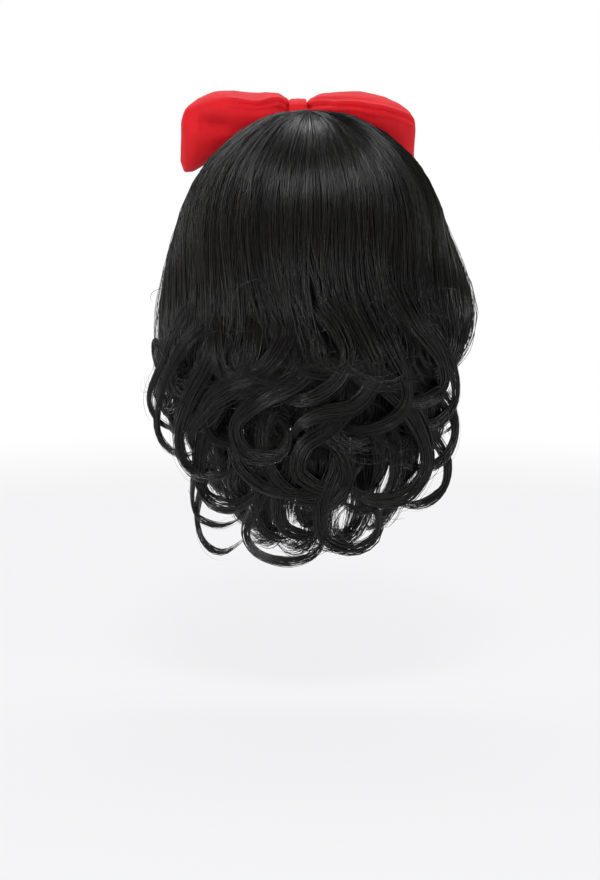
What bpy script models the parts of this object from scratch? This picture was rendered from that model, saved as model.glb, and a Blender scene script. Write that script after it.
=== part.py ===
"""Short curly wig with a padded bow, at its real size, in metres.

+Z is up and -Y is the side of the face. The origin is where the crown of the head
touches the inside of the cap. A bearing is counted in degrees from the back of the
head, positive towards +X. A level runs from 0 at the crown to 1 at the widest line
of the head, and on to 2 at the lowest curl.
"""

import math

import bmesh
import bpy
from mathutils import Vector

# The head that the cap fits
HEAD_WIDTH = 0.154
HEAD_LENGTH = 0.192
HEAD_RISE = 0.115
NECK_SHARE = 0.78
NECK_DROP = 0.12

# The cap
CAP_WALL = 0.0015
CAP_COLUMNS = 30
CAP_RINGS = 7

# The hair
HAIR_FALL = 0.212
HAIR_LOFT = 0.050
CROWN_LOFT = 0.0105
FACE_BEARING = 118.0
PARTING_SPREAD = 0.525

# Clearances
LOCK_GAP = 0.0008
LAYER_GAP = 0.0013
NAPE_GAP = 0.0006

# Where the layers of locks begin and end
UNDER_BEARING = 104.0
NAPE_FIRST_BEARING = -60.0
NAPE_LAST_BEARING = 76.0
NAPE_OPENS = 0.055
NAPE_DEPTH = 0.016
NAPE_THICKNESS = 0.0150

# The bow
BOW_WIDTH = 0.184
BOW_HEIGHT = 0.080
BOW_THICKNESS = 0.040
BOW_LEVEL = 0.335
BOW_LEAN = 26.0
BOW_SHIFT = 0.009
KNOT_WIDTH = 0.015
KNOT_WALL = 0.0022
CLIP_SPAN = 0.20
CLIP_WIDTH = 0.012
CLIP_WALL = 0.0016
BOW_GAP = 0.0004

# How far the hair stands off the head: shares of HAIR_LOFT, and split is the part
# of that thickness which the under layer takes
LOFT_TABLE = (
    dict(level=0.00, left=0.00, right=0.00, back=0.00, front=0.00, split=0.00),
    dict(level=0.17, left=0.10, right=0.10, back=0.03, front=0.03, split=0.00),
    dict(level=0.33, left=0.19, right=0.22, back=0.07, front=0.06, split=0.00),
    dict(level=0.50, left=0.30, right=0.35, back=0.14, front=0.08, split=0.00),
    dict(level=0.67, left=0.34, right=0.39, back=0.20, front=0.06, split=0.18),
    dict(level=0.83, left=0.38, right=0.42, back=0.24, front=0.06, split=0.38),
    dict(level=1.00, left=0.46, right=0.62, back=0.30, front=0.10, split=0.42),
    dict(level=1.11, left=0.56, right=0.78, back=0.46, front=0.16, split=0.46),
    dict(level=1.23, left=0.65, right=0.74, back=0.66, front=0.22, split=0.55),
    dict(level=1.36, left=0.78, right=0.54, back=0.66, front=0.26, split=0.58),
    dict(level=1.43, left=0.92, right=0.61, back=0.64, front=0.28, split=0.58),
    dict(level=1.57, left=0.85, right=0.75, back=0.64, front=0.28, split=0.60),
    dict(level=1.68, left=0.56, right=0.66, back=0.54, front=0.24, split=0.64),
    dict(level=1.78, left=0.30, right=0.46, back=0.38, front=0.20, split=1.00),
    dict(level=1.89, left=0.20, right=0.22, back=0.10, front=0.16, split=1.00),
    dict(level=2.00, left=0.05, right=0.05, back=0.00, front=0.10, split=1.00),
)

# The edge of the cap, the same on both sides: over the forehead, round the ear
# and down to the nape
RIM_TABLE = (
    dict(bearing=0, level=1.215),
    dict(bearing=40, level=1.19),
    dict(bearing=75, level=1.09),
    dict(bearing=95, level=0.97),
    dict(bearing=115, level=1.00),
    dict(bearing=131, level=0.93),
    dict(bearing=150, level=0.77),
    dict(bearing=180, level=0.54),
)

# Crown locks, from the -X side of the face round the back to the +X side.
# curl and ends are levels, slim is the share of its room that the curl is wide,
# and waves is how many times the curl winds to and fro in the rest of its room
CROWN_TABLE = (
    dict(curl=1.24, ends=1.62, slim=0.80, waves=-0.75),
    dict(curl=1.26, ends=1.70, slim=0.84, waves=0.75),
    dict(curl=1.28, ends=1.74, slim=0.84, waves=-0.75),
    dict(curl=1.25, ends=1.71, slim=0.86, waves=0.75),
    dict(curl=1.22, ends=1.66, slim=0.84, waves=-0.75),
    dict(curl=1.18, ends=1.69, slim=0.86, waves=0.75),
    dict(curl=1.20, ends=1.63, slim=0.84, waves=-0.75),
    dict(curl=1.24, ends=1.68, slim=0.86, waves=0.75),
    dict(curl=1.20, ends=1.61, slim=0.84, waves=-0.75),
    dict(curl=1.22, ends=1.64, slim=0.86, waves=0.75),
    dict(curl=1.20, ends=1.60, slim=0.84, waves=-0.75),
    dict(curl=1.22, ends=1.56, slim=0.80, waves=0.75),
)

UNDER_TABLE = (
    dict(curl=1.34, ends=1.70, slim=0.80, waves=0.75),
    dict(curl=1.40, ends=1.76, slim=0.84, waves=-0.75),
    dict(curl=1.44, ends=1.82, slim=0.86, waves=0.75),
    dict(curl=1.46, ends=1.78, slim=0.86, waves=-0.75),
    dict(curl=1.44, ends=1.84, slim=0.86, waves=0.75),
    dict(curl=1.42, ends=1.79, slim=0.88, waves=0.75),
    dict(curl=1.46, ends=1.85, slim=0.86, waves=-0.75),
    dict(curl=1.44, ends=1.79, slim=0.86, waves=0.75),
    dict(curl=1.44, ends=1.82, slim=0.86, waves=-0.75),
    dict(curl=1.38, ends=1.74, slim=0.84, waves=0.75),
    dict(curl=1.34, ends=1.68, slim=0.80, waves=-0.75),
)

# Nape locks from -X to +X. foot is the level of the hook's lowest point, hook its
# radius as a share of the lock's room, turn is how far it turns in degrees,
# positive towards +X, and thick is a share of the locks' thickness
NAPE_TABLE = (
    dict(foot=1.90, hook=0.29, turn=200.0, thick=0.80),
    dict(foot=1.97, hook=0.27, turn=235.0, thick=1.00),
    dict(foot=1.99, hook=0.27, turn=200.0, thick=0.90),
    dict(foot=2.00, hook=0.27, turn=-200.0, thick=0.90),
    dict(foot=1.96, hook=0.27, turn=-215.0, thick=0.90),
    dict(foot=1.89, hook=0.27, turn=-220.0, thick=0.85),
)

# One bow loop from the knot out to its end. along is the share of half the bow's
# width, top and bottom are shares of its height from the knot's middle, thick is
# a share of its thickness
LOOP_TABLE = (
    dict(along=0.000, top=0.145, bottom=-0.145, thick=0.40),
    dict(along=0.085, top=0.150, bottom=-0.150, thick=0.44),
    dict(along=0.160, top=0.215, bottom=-0.135, thick=0.66),
    dict(along=0.300, top=0.250, bottom=-0.135, thick=0.86),
    dict(along=0.500, top=0.245, bottom=-0.250, thick=0.96),
    dict(along=0.700, top=0.185, bottom=-0.450, thick=1.00),
    dict(along=0.860, top=0.105, bottom=-0.590, thick=0.88),
    dict(along=0.960, top=0.020, bottom=-0.620, thick=0.60),
    dict(along=1.000, top=-0.110, bottom=-0.520, thick=0.26),
)

# The knot's band from its edge on one side, over the outside and back through the
# hollow: along is a share of half its width and wall a share of its wall
KNOT_TABLE = (
    dict(along=-1.0, wall=0.5),
    dict(along=-0.7, wall=0.9),
    dict(along=0.0, wall=1.0),
    dict(along=0.7, wall=0.9),
    dict(along=1.0, wall=0.5),
    dict(along=1.0, wall=0.0),
    dict(along=-1.0, wall=0.0),
)

# A lock's section: across is the share of half its room, deep the share of its
# thickness from the inside out, first where it lies flat and then where it curls
SECTION_TABLE = (
    dict(across=-1.00, deep=0.00, curl_across=-0.71, curl_deep=0.15),
    dict(across=-0.50, deep=0.00, curl_across=-0.38, curl_deep=0.04),
    dict(across=0.00, deep=0.00, curl_across=0.00, curl_deep=0.00),
    dict(across=0.50, deep=0.00, curl_across=0.38, curl_deep=0.04),
    dict(across=1.00, deep=0.00, curl_across=0.71, curl_deep=0.15),
    dict(across=1.00, deep=0.72, curl_across=1.00, curl_deep=0.50),
    dict(across=0.55, deep=0.95, curl_across=0.71, curl_deep=0.85),
    dict(across=0.00, deep=1.00, curl_across=0.00, curl_deep=1.00),
    dict(across=-0.55, deep=0.95, curl_across=-0.71, curl_deep=0.85),
    dict(across=-1.00, deep=0.72, curl_across=-1.00, curl_deep=0.50),
)

CROWN_LEVELS = (0.03, 0.09, 0.18, 0.28, 0.39, 0.50, 0.61, 0.72, 0.83, 0.94, 1.05, 1.14)
UNDER_LEVELS = (0.60, 0.68, 0.77, 0.86, 0.95, 1.04, 1.13, 1.22, 1.31)
CURL_STEPS = 6
TIP_SHARE = 0.22
TIP_STEPS = 3
NAPE_STEPS = 5
HOOK_STEPS = 10
ROUND_SIDES = 8
LOOP_SIDES = 16
CLIP_STEPS = 6

# Colours of the real thing, linear red, green and blue
HAIR_BLACK = (0.012, 0.011, 0.011)
NET_BLACK = (0.02, 0.02, 0.02)
BOW_RED = (0.62, 0.012, 0.022)
CLIP_BLACK = (0.03, 0.03, 0.03)


def clear_scene():
    for thing in list(bpy.data.objects):
        bpy.data.objects.remove(thing, do_unlink=True)


def finish(name, colour, roughness, metallic=0.0):
    material = bpy.data.materials.new(name)
    material.use_nodes = True
    shader = material.node_tree.nodes["Principled BSDF"]
    shader.inputs["Base Color"].default_value = (*colour, 1.0)
    shader.inputs["Roughness"].default_value = roughness
    shader.inputs["Metallic"].default_value = metallic
    return material


def smooth_step(value):
    value = min(1.0, max(0.0, value))
    return value * value * (3.0 - 2.0 * value)


def read(table, key, column, at):
    """The column's value at a place between rows, on a smooth curve."""
    last = len(table) - 1
    at = min(table[last][key], max(table[0][key], at))
    row = next(i for i in range(last) if at <= table[i + 1][key])

    def slope(i):
        low, high = max(0, i - 1), min(last, i + 1)
        return (table[high][column] - table[low][column]) / (table[high][key] - table[low][key])

    width = table[row + 1][key] - table[row][key]
    t = (at - table[row][key]) / width
    start, end = table[row][column], table[row + 1][column]
    rise = end - start
    a = slope(row) * width - rise
    b = rise - slope(row + 1) * width
    return start + rise * t + t * (1 - t) * (a * (1 - t) + b * t)


def by_quarter(bearing, left, right, back, front):
    """One distance from those at the four sides, turned round an ellipse."""
    x = math.sin(math.radians(bearing))
    y = math.cos(math.radians(bearing))
    across = left if x > 0 else right
    along = back if y > 0 else front
    return math.hypot(across * x, along * y)


def head_radius(bearing, level):
    """From the middle line of the head to its skin, along the level's ray."""
    x = math.sin(math.radians(bearing)) / (HEAD_WIDTH / 2)
    y = math.cos(math.radians(bearing)) / (HEAD_LENGTH / 2)
    if level <= 1.0:
        polar = math.radians(90.0 * level)
        flat = math.sin(polar)
        return 1.0 / math.hypot(flat * x, flat * y, math.cos(polar) / HEAD_RISE)
    narrow = 1.0 - (1.0 - NECK_SHARE) * smooth_step((level - 1.0) * HAIR_FALL / NECK_DROP)
    return narrow / math.hypot(x, y)


def loft(bearing, level):
    """How far the outermost hair stands off the cap."""
    sides = [read(LOFT_TABLE, "level", side, level) for side in ("left", "right", "back", "front")]
    return CROWN_LOFT + HAIR_LOFT * by_quarter(bearing, *sides)


def point(bearing, level, radius):
    """The point at this distance from the head's middle line."""
    x = math.sin(math.radians(bearing))
    y = math.cos(math.radians(bearing))
    if level <= 1.0:
        polar = math.radians(90.0 * level)
        flat = radius * math.sin(polar)
        return Vector((flat * x, flat * y, radius * math.cos(polar) - HEAD_RISE))
    return Vector((radius * x, radius * y, -HEAD_RISE - (level - 1.0) * HAIR_FALL))


def cap_radius(bearing, level):
    return head_radius(bearing, level) + CAP_WALL


def split_radius(bearing, level):
    """Where the under layer ends and the crown locks begin."""
    share = read(LOFT_TABLE, "level", "split", level)
    return cap_radius(bearing, level) + loft(bearing, level) * share


def swept(bearing, level):
    """The bearing of a strand that falls at the given bearing low down: above the
    ears it spreads towards the parting."""
    return bearing * (1.0 + PARTING_SPREAD * (1.0 - smooth_step((level - 0.45) / 0.78)))


def rim(bearing):
    return read(RIM_TABLE, "bearing", "level", abs(bearing))


def nape_room(bearing, level):
    """The share of the nape locks' depth that is kept free for them here."""
    inside = min(bearing - NAPE_FIRST_BEARING, NAPE_LAST_BEARING - bearing)
    return smooth_step((level - rim(bearing) + NAPE_OPENS) / 0.14) * smooth_step(1.0 + inside / 14.0)


def loft_through(name, rings, material, closed=False):
    """A solid through rings of as many points each, capped unless it is closed."""
    mesh = bmesh.new()
    made = [[mesh.verts.new(spot) for spot in ring] for ring in rings]
    count = len(made[0])
    for near, far in zip(made, made[1:] + made[:1] if closed else made[1:]):
        for i in range(count):
            j = (i + 1) % count
            mesh.faces.new((near[i], near[j], far[j], far[i]))
    if not closed:
        mesh.faces.new(made[0][::-1])
        mesh.faces.new(made[-1])
    bmesh.ops.triangulate(mesh, faces=mesh.faces[:], quad_method="SHORT_EDGE")
    bmesh.ops.recalc_face_normals(mesh, faces=mesh.faces[:])
    data = bpy.data.meshes.new(name)
    mesh.to_mesh(data)
    mesh.free()
    data.shade_smooth()
    data.set_sharp_from_angle(angle=math.radians(50.0))
    data.materials.append(material)
    thing = bpy.data.objects.new(name, data)
    bpy.context.scene.collection.objects.link(thing)
    return thing


def lock_ring(middle, half, level, inner, outer, curled, taper):
    """One section of a lock, between an inner and an outer surface."""
    ring = []
    for row in SECTION_TABLE:
        across = row["across"] + curled * (row["curl_across"] - row["across"])
        deep = row["deep"] + curled * (row["curl_deep"] - row["deep"])
        bearing = middle + across * half * taper
        low, high = inner(bearing, level), outer(bearing, level)
        ring.append(point(bearing, level, low + (high - low) * (0.5 + (deep - 0.5) * taper)))
    return ring


def lock(name, row, first, last, levels, inner, outer, material):
    """A lock that lies in its room between two bearings and ends in a fat curl."""
    fall = row["ends"] - row["curl"]
    tip = row["ends"] - fall * TIP_SHARE
    stations = [level for level in levels if level < row["curl"] - 0.03]
    stations += [row["curl"] + (tip - row["curl"]) * i / CURL_STEPS for i in range(CURL_STEPS + 1)]
    stations += [tip + (row["ends"] - tip) * math.sin(math.pi / 2 * (i + 1) / TIP_STEPS) for i in range(TIP_STEPS)]
    rings = []
    for level in stations:
        low, high = swept(first, level), swept(last, level)
        middle, room = (low + high) / 2, (high - low) / 2
        spot = point(middle, level, inner(middle, level))
        reach = max(LOCK_GAP, math.hypot(spot.x, spot.y))
        room -= math.degrees(LOCK_GAP / 2 / reach)
        curled = smooth_step((level - row["curl"] + 0.10) / 0.20)
        free = room * (1.0 - row["slim"]) * curled
        wave = math.sin(math.tau * row["waves"] * (level - row["curl"]) / fall)
        past = max(0.0, (level - tip) / (row["ends"] - tip))
        taper = max(0.3, math.sqrt(1.0 - min(1.0, past * past)))
        rings.append(lock_ring(middle + free * wave, room - free, level, inner, outer, curled, taper))
    return loft_through(name, rings, material)


def tube(name, path, widths, material):
    """A closed round lock along a path of points."""
    rings = []
    last = len(path) - 1
    side = None
    for i, spot in enumerate(path):
        ahead = (path[min(i + 1, last)] - path[max(i - 1, 0)]).normalized()
        if side is None:
            side = ahead.cross(Vector((spot.x, spot.y, 0.0))).normalized()
        side = (side - ahead * side.dot(ahead)).normalized()
        up = side.cross(ahead)
        ring = []
        for corner in range(ROUND_SIDES):
            turn = math.tau * corner / ROUND_SIDES
            ring.append(spot + (side * math.cos(turn) + up * math.sin(turn)) * widths[i])
        rings.append(ring)
    return loft_through(name, rings, material)


def wig_cap(material):
    """A thin cap on the head's form, cut to the rim's line."""
    mesh = bmesh.new()
    crown = mesh.verts.new(point(0.0, 0.0, HEAD_RISE))
    rings = []
    for ring in range(1, CAP_RINGS + 1):
        row = []
        for column in range(CAP_COLUMNS):
            bearing = 360.0 * column / CAP_COLUMNS - 180.0
            level = rim(bearing) * ring / CAP_RINGS
            row.append(mesh.verts.new(point(bearing, level, head_radius(bearing, level))))
        rings.append(row)
    for i in range(CAP_COLUMNS):
        j = (i + 1) % CAP_COLUMNS
        mesh.faces.new((crown, rings[0][i], rings[0][j]))
        for near, far in zip(rings, rings[1:]):
            mesh.faces.new((near[i], far[i], far[j], near[j]))
    bmesh.ops.recalc_face_normals(mesh, faces=mesh.faces[:])
    if sum(face.normal.z for face in mesh.faces) < 0:
        bmesh.ops.reverse_faces(mesh, faces=mesh.faces[:])
    data = bpy.data.meshes.new("wig_cap")
    mesh.to_mesh(data)
    mesh.free()
    data.shade_smooth()
    data.materials.append(material)
    thing = bpy.data.objects.new("wig_cap", data)
    bpy.context.scene.collection.objects.link(thing)
    wall = thing.modifiers.new("wall", "SOLIDIFY")
    wall.thickness = CAP_WALL
    wall.offset = 1.0
    return thing


def under_inner(bearing, level):
    return cap_radius(bearing, level) + LAYER_GAP + NAPE_DEPTH * nape_room(bearing, level)


def under_outer(bearing, level):
    return max(split_radius(bearing, level), under_inner(bearing, level) + LAYER_GAP)


def crown_inner(bearing, level):
    covered = smooth_step((level - UNDER_LEVELS[0] + 0.15) / 0.12)
    cap = cap_radius(bearing, level)
    return cap + LAYER_GAP + (under_outer(bearing, level) - cap) * covered


def crown_outer(bearing, level):
    return cap_radius(bearing, level) + loft(bearing, level)


def lock_layer(name, table, reach, levels, inner, outer, material):
    """A layer of locks in rooms of the same width, from -X round the back to +X."""
    room = 2 * reach / len(table)
    for i, row in enumerate(table):
        first = -reach + room * i
        lock(f"{name}_{i + 1:02d}", row, first, first + room, levels, inner, outer, material)


def nape_locks(material):
    """The hooked locks that hang lowest, behind the neck."""
    room = (NAPE_LAST_BEARING - NAPE_FIRST_BEARING) / len(NAPE_TABLE)
    for i, row in enumerate(NAPE_TABLE):
        middle = NAPE_FIRST_BEARING + room * (i + 0.5)
        low_radius = head_radius(middle, row["foot"]) + NAPE_DEPTH / 2
        width = math.radians(room) * low_radius
        hook = width * row["hook"]
        half = NAPE_THICKNESS / 2 * row["thick"]
        side = math.copysign(1.0, row["turn"])
        start = rim(middle) + (NAPE_GAP + half * 0.05) / HAIR_FALL
        turns = row["foot"] - (hook + half) / HAIR_FALL
        places = []
        for step in range(NAPE_STEPS + 1):
            share = step / NAPE_STEPS
            places.append((-side * hook * smooth_step(share * 1.4), start + (turns - start) * share))
        for step in range(1, HOOK_STEPS + 1):
            angle = math.radians(abs(row["turn"])) * step / HOOK_STEPS
            across = -side * hook * math.cos(angle)
            places.append((across, turns + hook * math.sin(angle) / HAIR_FALL))
        path = []
        for across, level in places:
            bearing = middle + math.degrees(across / low_radius)
            free = smooth_step((level - start) / 0.16)
            at_cap = cap_radius(bearing, level) + half * 0.35
            hanging = under_inner(bearing, level) - NAPE_GAP - half
            path.append(point(bearing, level, at_cap + (hanging - at_cap) * free))
        last = len(path) - 1
        widths = [half * min(1.0, 0.45 + k / 4.0, 0.40 + (last - k) / 4.0) for k in range(last + 1)]
        tube(f"nape_lock_{i + 1}", path, widths, material)


def clip_path():
    """Points on the hair under the clip, from the back to the front."""
    path = []
    for i in range(CLIP_STEPS + 1):
        level = BOW_LEVEL + CLIP_SPAN * (i / CLIP_STEPS - 0.5)
        reach = crown_outer(180.0, level) * math.sin(math.radians(90.0 * level))
        bearing = 180.0 - math.degrees(math.asin(BOW_SHIFT / reach))
        path.append(point(bearing, level, crown_outer(bearing, level) + BOW_GAP))
    return path


def clip_normal(path, i):
    along = path[min(i + 1, len(path) - 1)] - path[max(i - 1, 0)]
    return along.cross(Vector((1.0, 0.0, 0.0))).normalized()


def bow_turned(across, back, up):
    lean = math.radians(BOW_LEAN)
    y = back * math.cos(lean) + up * math.sin(lean)
    z = up * math.cos(lean) - back * math.sin(lean)
    return Vector((across, y, z))


def bow_oval(across, top, bottom, thick, sides, fullness=0.8):
    """An upright padded section of the bow."""
    ring = []
    for corner in range(sides):
        turn = math.tau * corner / sides
        back = math.copysign(abs(math.cos(turn)) ** fullness, math.cos(turn)) * thick / 2
        up = math.copysign(abs(math.sin(turn)) ** fullness, math.sin(turn))
        ring.append(bow_turned(across, back, (top + bottom) / 2 + up * (top - bottom) / 2))
    return ring


def knot_ring(across, more):
    neck = LOOP_TABLE[1]
    top, bottom = BOW_HEIGHT * neck["top"] + more, BOW_HEIGHT * neck["bottom"] - more
    return bow_oval(across, top, bottom, BOW_THICKNESS * neck["thick"] + 2 * more, LOOP_SIDES)


def bow_place():
    """Where the bow's middle goes so that its knot rests on the clip."""
    path = clip_path()
    middle = CLIP_STEPS // 2
    normal = clip_normal(path, middle)
    knot = max(-normal.dot(spot) for spot in knot_ring(0.0, BOW_GAP + KNOT_WALL))
    return path[middle] + normal * (CLIP_WALL + BOW_GAP + knot)


def on_hair(spot):
    """The spot itself, or where the hair under it presses it out to."""
    middle = Vector((0.0, 0.0, -HEAD_RISE))
    ray = spot - middle
    level = math.degrees(math.atan2(math.hypot(ray.x, ray.y), ray.z)) / 90.0
    hair = crown_outer(math.degrees(math.atan2(ray.x, ray.y)), min(1.0, level)) + LAYER_GAP
    return spot if ray.length > hair else middle + ray * (hair / ray.length)


def bow_loops(place, material):
    for name, side in (("bow_loop_left", 1.0), ("bow_loop_right", -1.0)):
        rings = []
        for row in LOOP_TABLE:
            across = side * (BOW_GAP + (BOW_WIDTH / 2 - BOW_GAP) * row["along"])
            top, bottom = BOW_HEIGHT * row["top"], BOW_HEIGHT * row["bottom"]
            ring = bow_oval(across, top, bottom, BOW_THICKNESS * row["thick"], LOOP_SIDES)
            rings.append([on_hair(place + spot) for spot in ring])
        loft_through(name, rings, material)


def bow_knot(place, material):
    """The band round the necks of both loops."""
    sections = [(KNOT_WIDTH / 2 * row["along"], BOW_GAP + KNOT_WALL * row["wall"]) for row in KNOT_TABLE]
    rings = [[place + spot for spot in knot_ring(across, more)] for across, more in sections]
    loft_through("bow_knot", rings, material, closed=True)


def bow_clip(material):
    """The plain clip between the bow's knot and the hair."""
    path = clip_path()
    rings = []
    for i, spot in enumerate(path):
        rise = clip_normal(path, i) * CLIP_WALL
        side = Vector((CLIP_WIDTH / 2, 0.0, 0.0))
        rings.append([spot - side, spot + side, spot + side + rise, spot - side + rise])
    loft_through("bow_clip", rings, material)


def main():
    clear_scene()
    hair = finish("black_hair", HAIR_BLACK, 0.4)
    net = finish("cap_net", NET_BLACK, 0.9)
    cloth = finish("red_cloth", BOW_RED, 0.75)
    metal = finish("clip_lacquer", CLIP_BLACK, 0.4)
    wig_cap(net)
    lock_layer("crown_lock", CROWN_TABLE, FACE_BEARING, CROWN_LEVELS, crown_inner, crown_outer, hair)
    lock_layer("under_lock", UNDER_TABLE, UNDER_BEARING, UNDER_LEVELS, under_inner, under_outer, hair)
    nape_locks(hair)
    place = bow_place()
    bow_loops(place, cloth)
    bow_knot(place, cloth)
    bow_clip(metal)


main()
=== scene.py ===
import math
import bpy
import numpy as np
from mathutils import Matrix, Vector


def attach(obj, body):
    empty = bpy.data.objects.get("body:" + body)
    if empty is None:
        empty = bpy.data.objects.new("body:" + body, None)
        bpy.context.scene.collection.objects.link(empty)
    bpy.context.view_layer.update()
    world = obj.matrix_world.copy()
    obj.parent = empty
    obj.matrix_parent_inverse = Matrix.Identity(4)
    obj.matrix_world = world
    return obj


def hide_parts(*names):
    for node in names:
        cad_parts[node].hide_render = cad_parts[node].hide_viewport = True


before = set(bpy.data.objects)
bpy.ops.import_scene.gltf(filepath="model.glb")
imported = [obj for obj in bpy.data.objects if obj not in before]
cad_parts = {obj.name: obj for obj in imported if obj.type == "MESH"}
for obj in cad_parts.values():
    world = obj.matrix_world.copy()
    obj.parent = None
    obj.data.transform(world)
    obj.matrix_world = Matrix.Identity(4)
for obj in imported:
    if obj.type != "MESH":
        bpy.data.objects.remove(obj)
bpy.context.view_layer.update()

scene = bpy.context.scene

# The cap's inner form and the hair's outer form, in metres, as the solids have them.
# A bearing is in degrees from the back of the head, a level is 0 at the crown,
# 1 at the widest line of the head and 2 at the lowest curl. loftSides says how
# much of hairLoft the hair has at each level of loftLevels.
form = {
    "headWidth": 0.154, "headLength": 0.192, "headRise": 0.115,
    "neckShare": 0.78, "neckDrop": 0.12, "capWall": 0.0015,
    "hairFall": 0.212, "hairLoft": 0.050, "crownLoft": 0.0105,
    "partingSpread": 0.525,
    "domeRun": 0.165,       # metres of hair from the crown down to level 1
    "turnRadius": 0.095,    # metres across count as degrees at this radius
}
loftLevels = [0.00, 0.17, 0.33, 0.50, 0.67, 0.83, 1.00, 1.11, 1.23, 1.36, 1.43, 1.57, 1.68, 1.78, 1.89, 2.00]
loftSides = {
    "left": [0.00, 0.10, 0.19, 0.30, 0.34, 0.38, 0.46, 0.56, 0.65, 0.78, 0.92, 0.85, 0.56, 0.30, 0.20, 0.05],
    "right": [0.00, 0.10, 0.22, 0.35, 0.39, 0.42, 0.62, 0.78, 0.74, 0.54, 0.61, 0.75, 0.66, 0.46, 0.22, 0.05],
    "back": [0.00, 0.03, 0.07, 0.14, 0.20, 0.24, 0.30, 0.46, 0.66, 0.66, 0.64, 0.64, 0.54, 0.38, 0.10, 0.00],
    "front": [0.00, 0.03, 0.06, 0.08, 0.06, 0.06, 0.10, 0.16, 0.22, 0.26, 0.28, 0.28, 0.24, 0.20, 0.16, 0.10],
}


def smoothStep(value):
    value = np.clip(value, 0.0, 1.0)
    return value * value * (3.0 - 2.0 * value)


def smoothCurve(places, values, count=400):
    # the values read densely, then eased so that no corner is left between them
    dense = np.linspace(places[0], places[-1], count)
    line = np.interp(dense, places, values)
    kernel = np.hanning(count // 12)
    kernel /= kernel.sum()
    padded = np.pad(line, len(kernel), mode="edge")
    return dense, np.convolve(padded, kernel, mode="same")[len(kernel):-len(kernel)]


loftCurves = {side: smoothCurve(loftLevels, values) for side, values in loftSides.items()}


def headRadius(bearing, level):
    x = np.sin(np.radians(bearing)) / (form["headWidth"] / 2)
    y = np.cos(np.radians(bearing)) / (form["headLength"] / 2)
    polar = np.radians(90.0 * np.minimum(level, 1.0))
    flat = (np.sin(polar) * x) ** 2 + (np.sin(polar) * y) ** 2
    dome = 1.0 / np.sqrt(flat + (np.cos(polar) / form["headRise"]) ** 2)
    below = smoothStep((level - 1.0) * form["hairFall"] / form["neckDrop"])
    return dome * (1.0 - (1.0 - form["neckShare"]) * np.where(level > 1.0, below, 0.0))


def hairLoft(bearing, level):
    x = np.sin(np.radians(bearing))
    y = np.cos(np.radians(bearing))
    side = {key: np.interp(level, *curve) for key, curve in loftCurves.items()}
    across = np.where(x > 0, side["left"], side["right"]) * x
    along = np.where(y > 0, side["back"], side["front"]) * y
    return form["crownLoft"] + form["hairLoft"] * np.hypot(across, along)


def outerRadius(bearing, level):
    return headRadius(bearing, level) + form["capWall"] + hairLoft(bearing, level)


def spotOn(bearing, level, radius):
    polar = np.radians(90.0 * np.minimum(level, 1.0))
    flat = radius * np.sin(polar)
    z = radius * np.cos(polar) - form["headRise"] - np.maximum(level - 1.0, 0.0) * form["hairFall"]
    return np.stack([flat * np.sin(np.radians(bearing)), flat * np.cos(np.radians(bearing)), z], axis=-1)


def sweptBearing(bearing, level):
    return bearing * (1.0 + form["partingSpread"] * (1.0 - smoothStep((level - 0.45) / 0.78)))


# across, down and out are metres over the hair's outer form, from a bearing
def onHead(local, bearing):
    across, down, out = local[..., 0], local[..., 1], local[..., 2]
    run = form["domeRun"]
    level = np.where(down < run, down / run, 1.0 + (down - run) / form["hairFall"])
    level = np.maximum(level, 0.004)
    turned = sweptBearing(bearing + np.degrees(across / form["turnRadius"]), level)
    return spotOn(turned, level, outerRadius(turned, level) + out)


print("form ready")


def newMaterial(name, roughness, specular=0.5):
    material = bpy.data.materials.new(name)
    material.use_nodes = True
    nodes = material.node_tree.nodes
    shader = nodes["Principled BSDF"]
    shader.inputs["Roughness"].default_value = roughness
    shader.inputs["Specular IOR Level"].default_value = specular
    return material, nodes, material.node_tree.links, shader


def mixTones(nodes, links, mask, dark, light):
    mix = nodes.new("ShaderNodeMix")
    mix.data_type = "RGBA"
    mix.inputs["A"].default_value = (*dark, 1.0)
    mix.inputs["B"].default_value = (*light, 1.0)
    links.new(mask, mix.inputs["Factor"])
    return mix.outputs["Result"]


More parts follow.
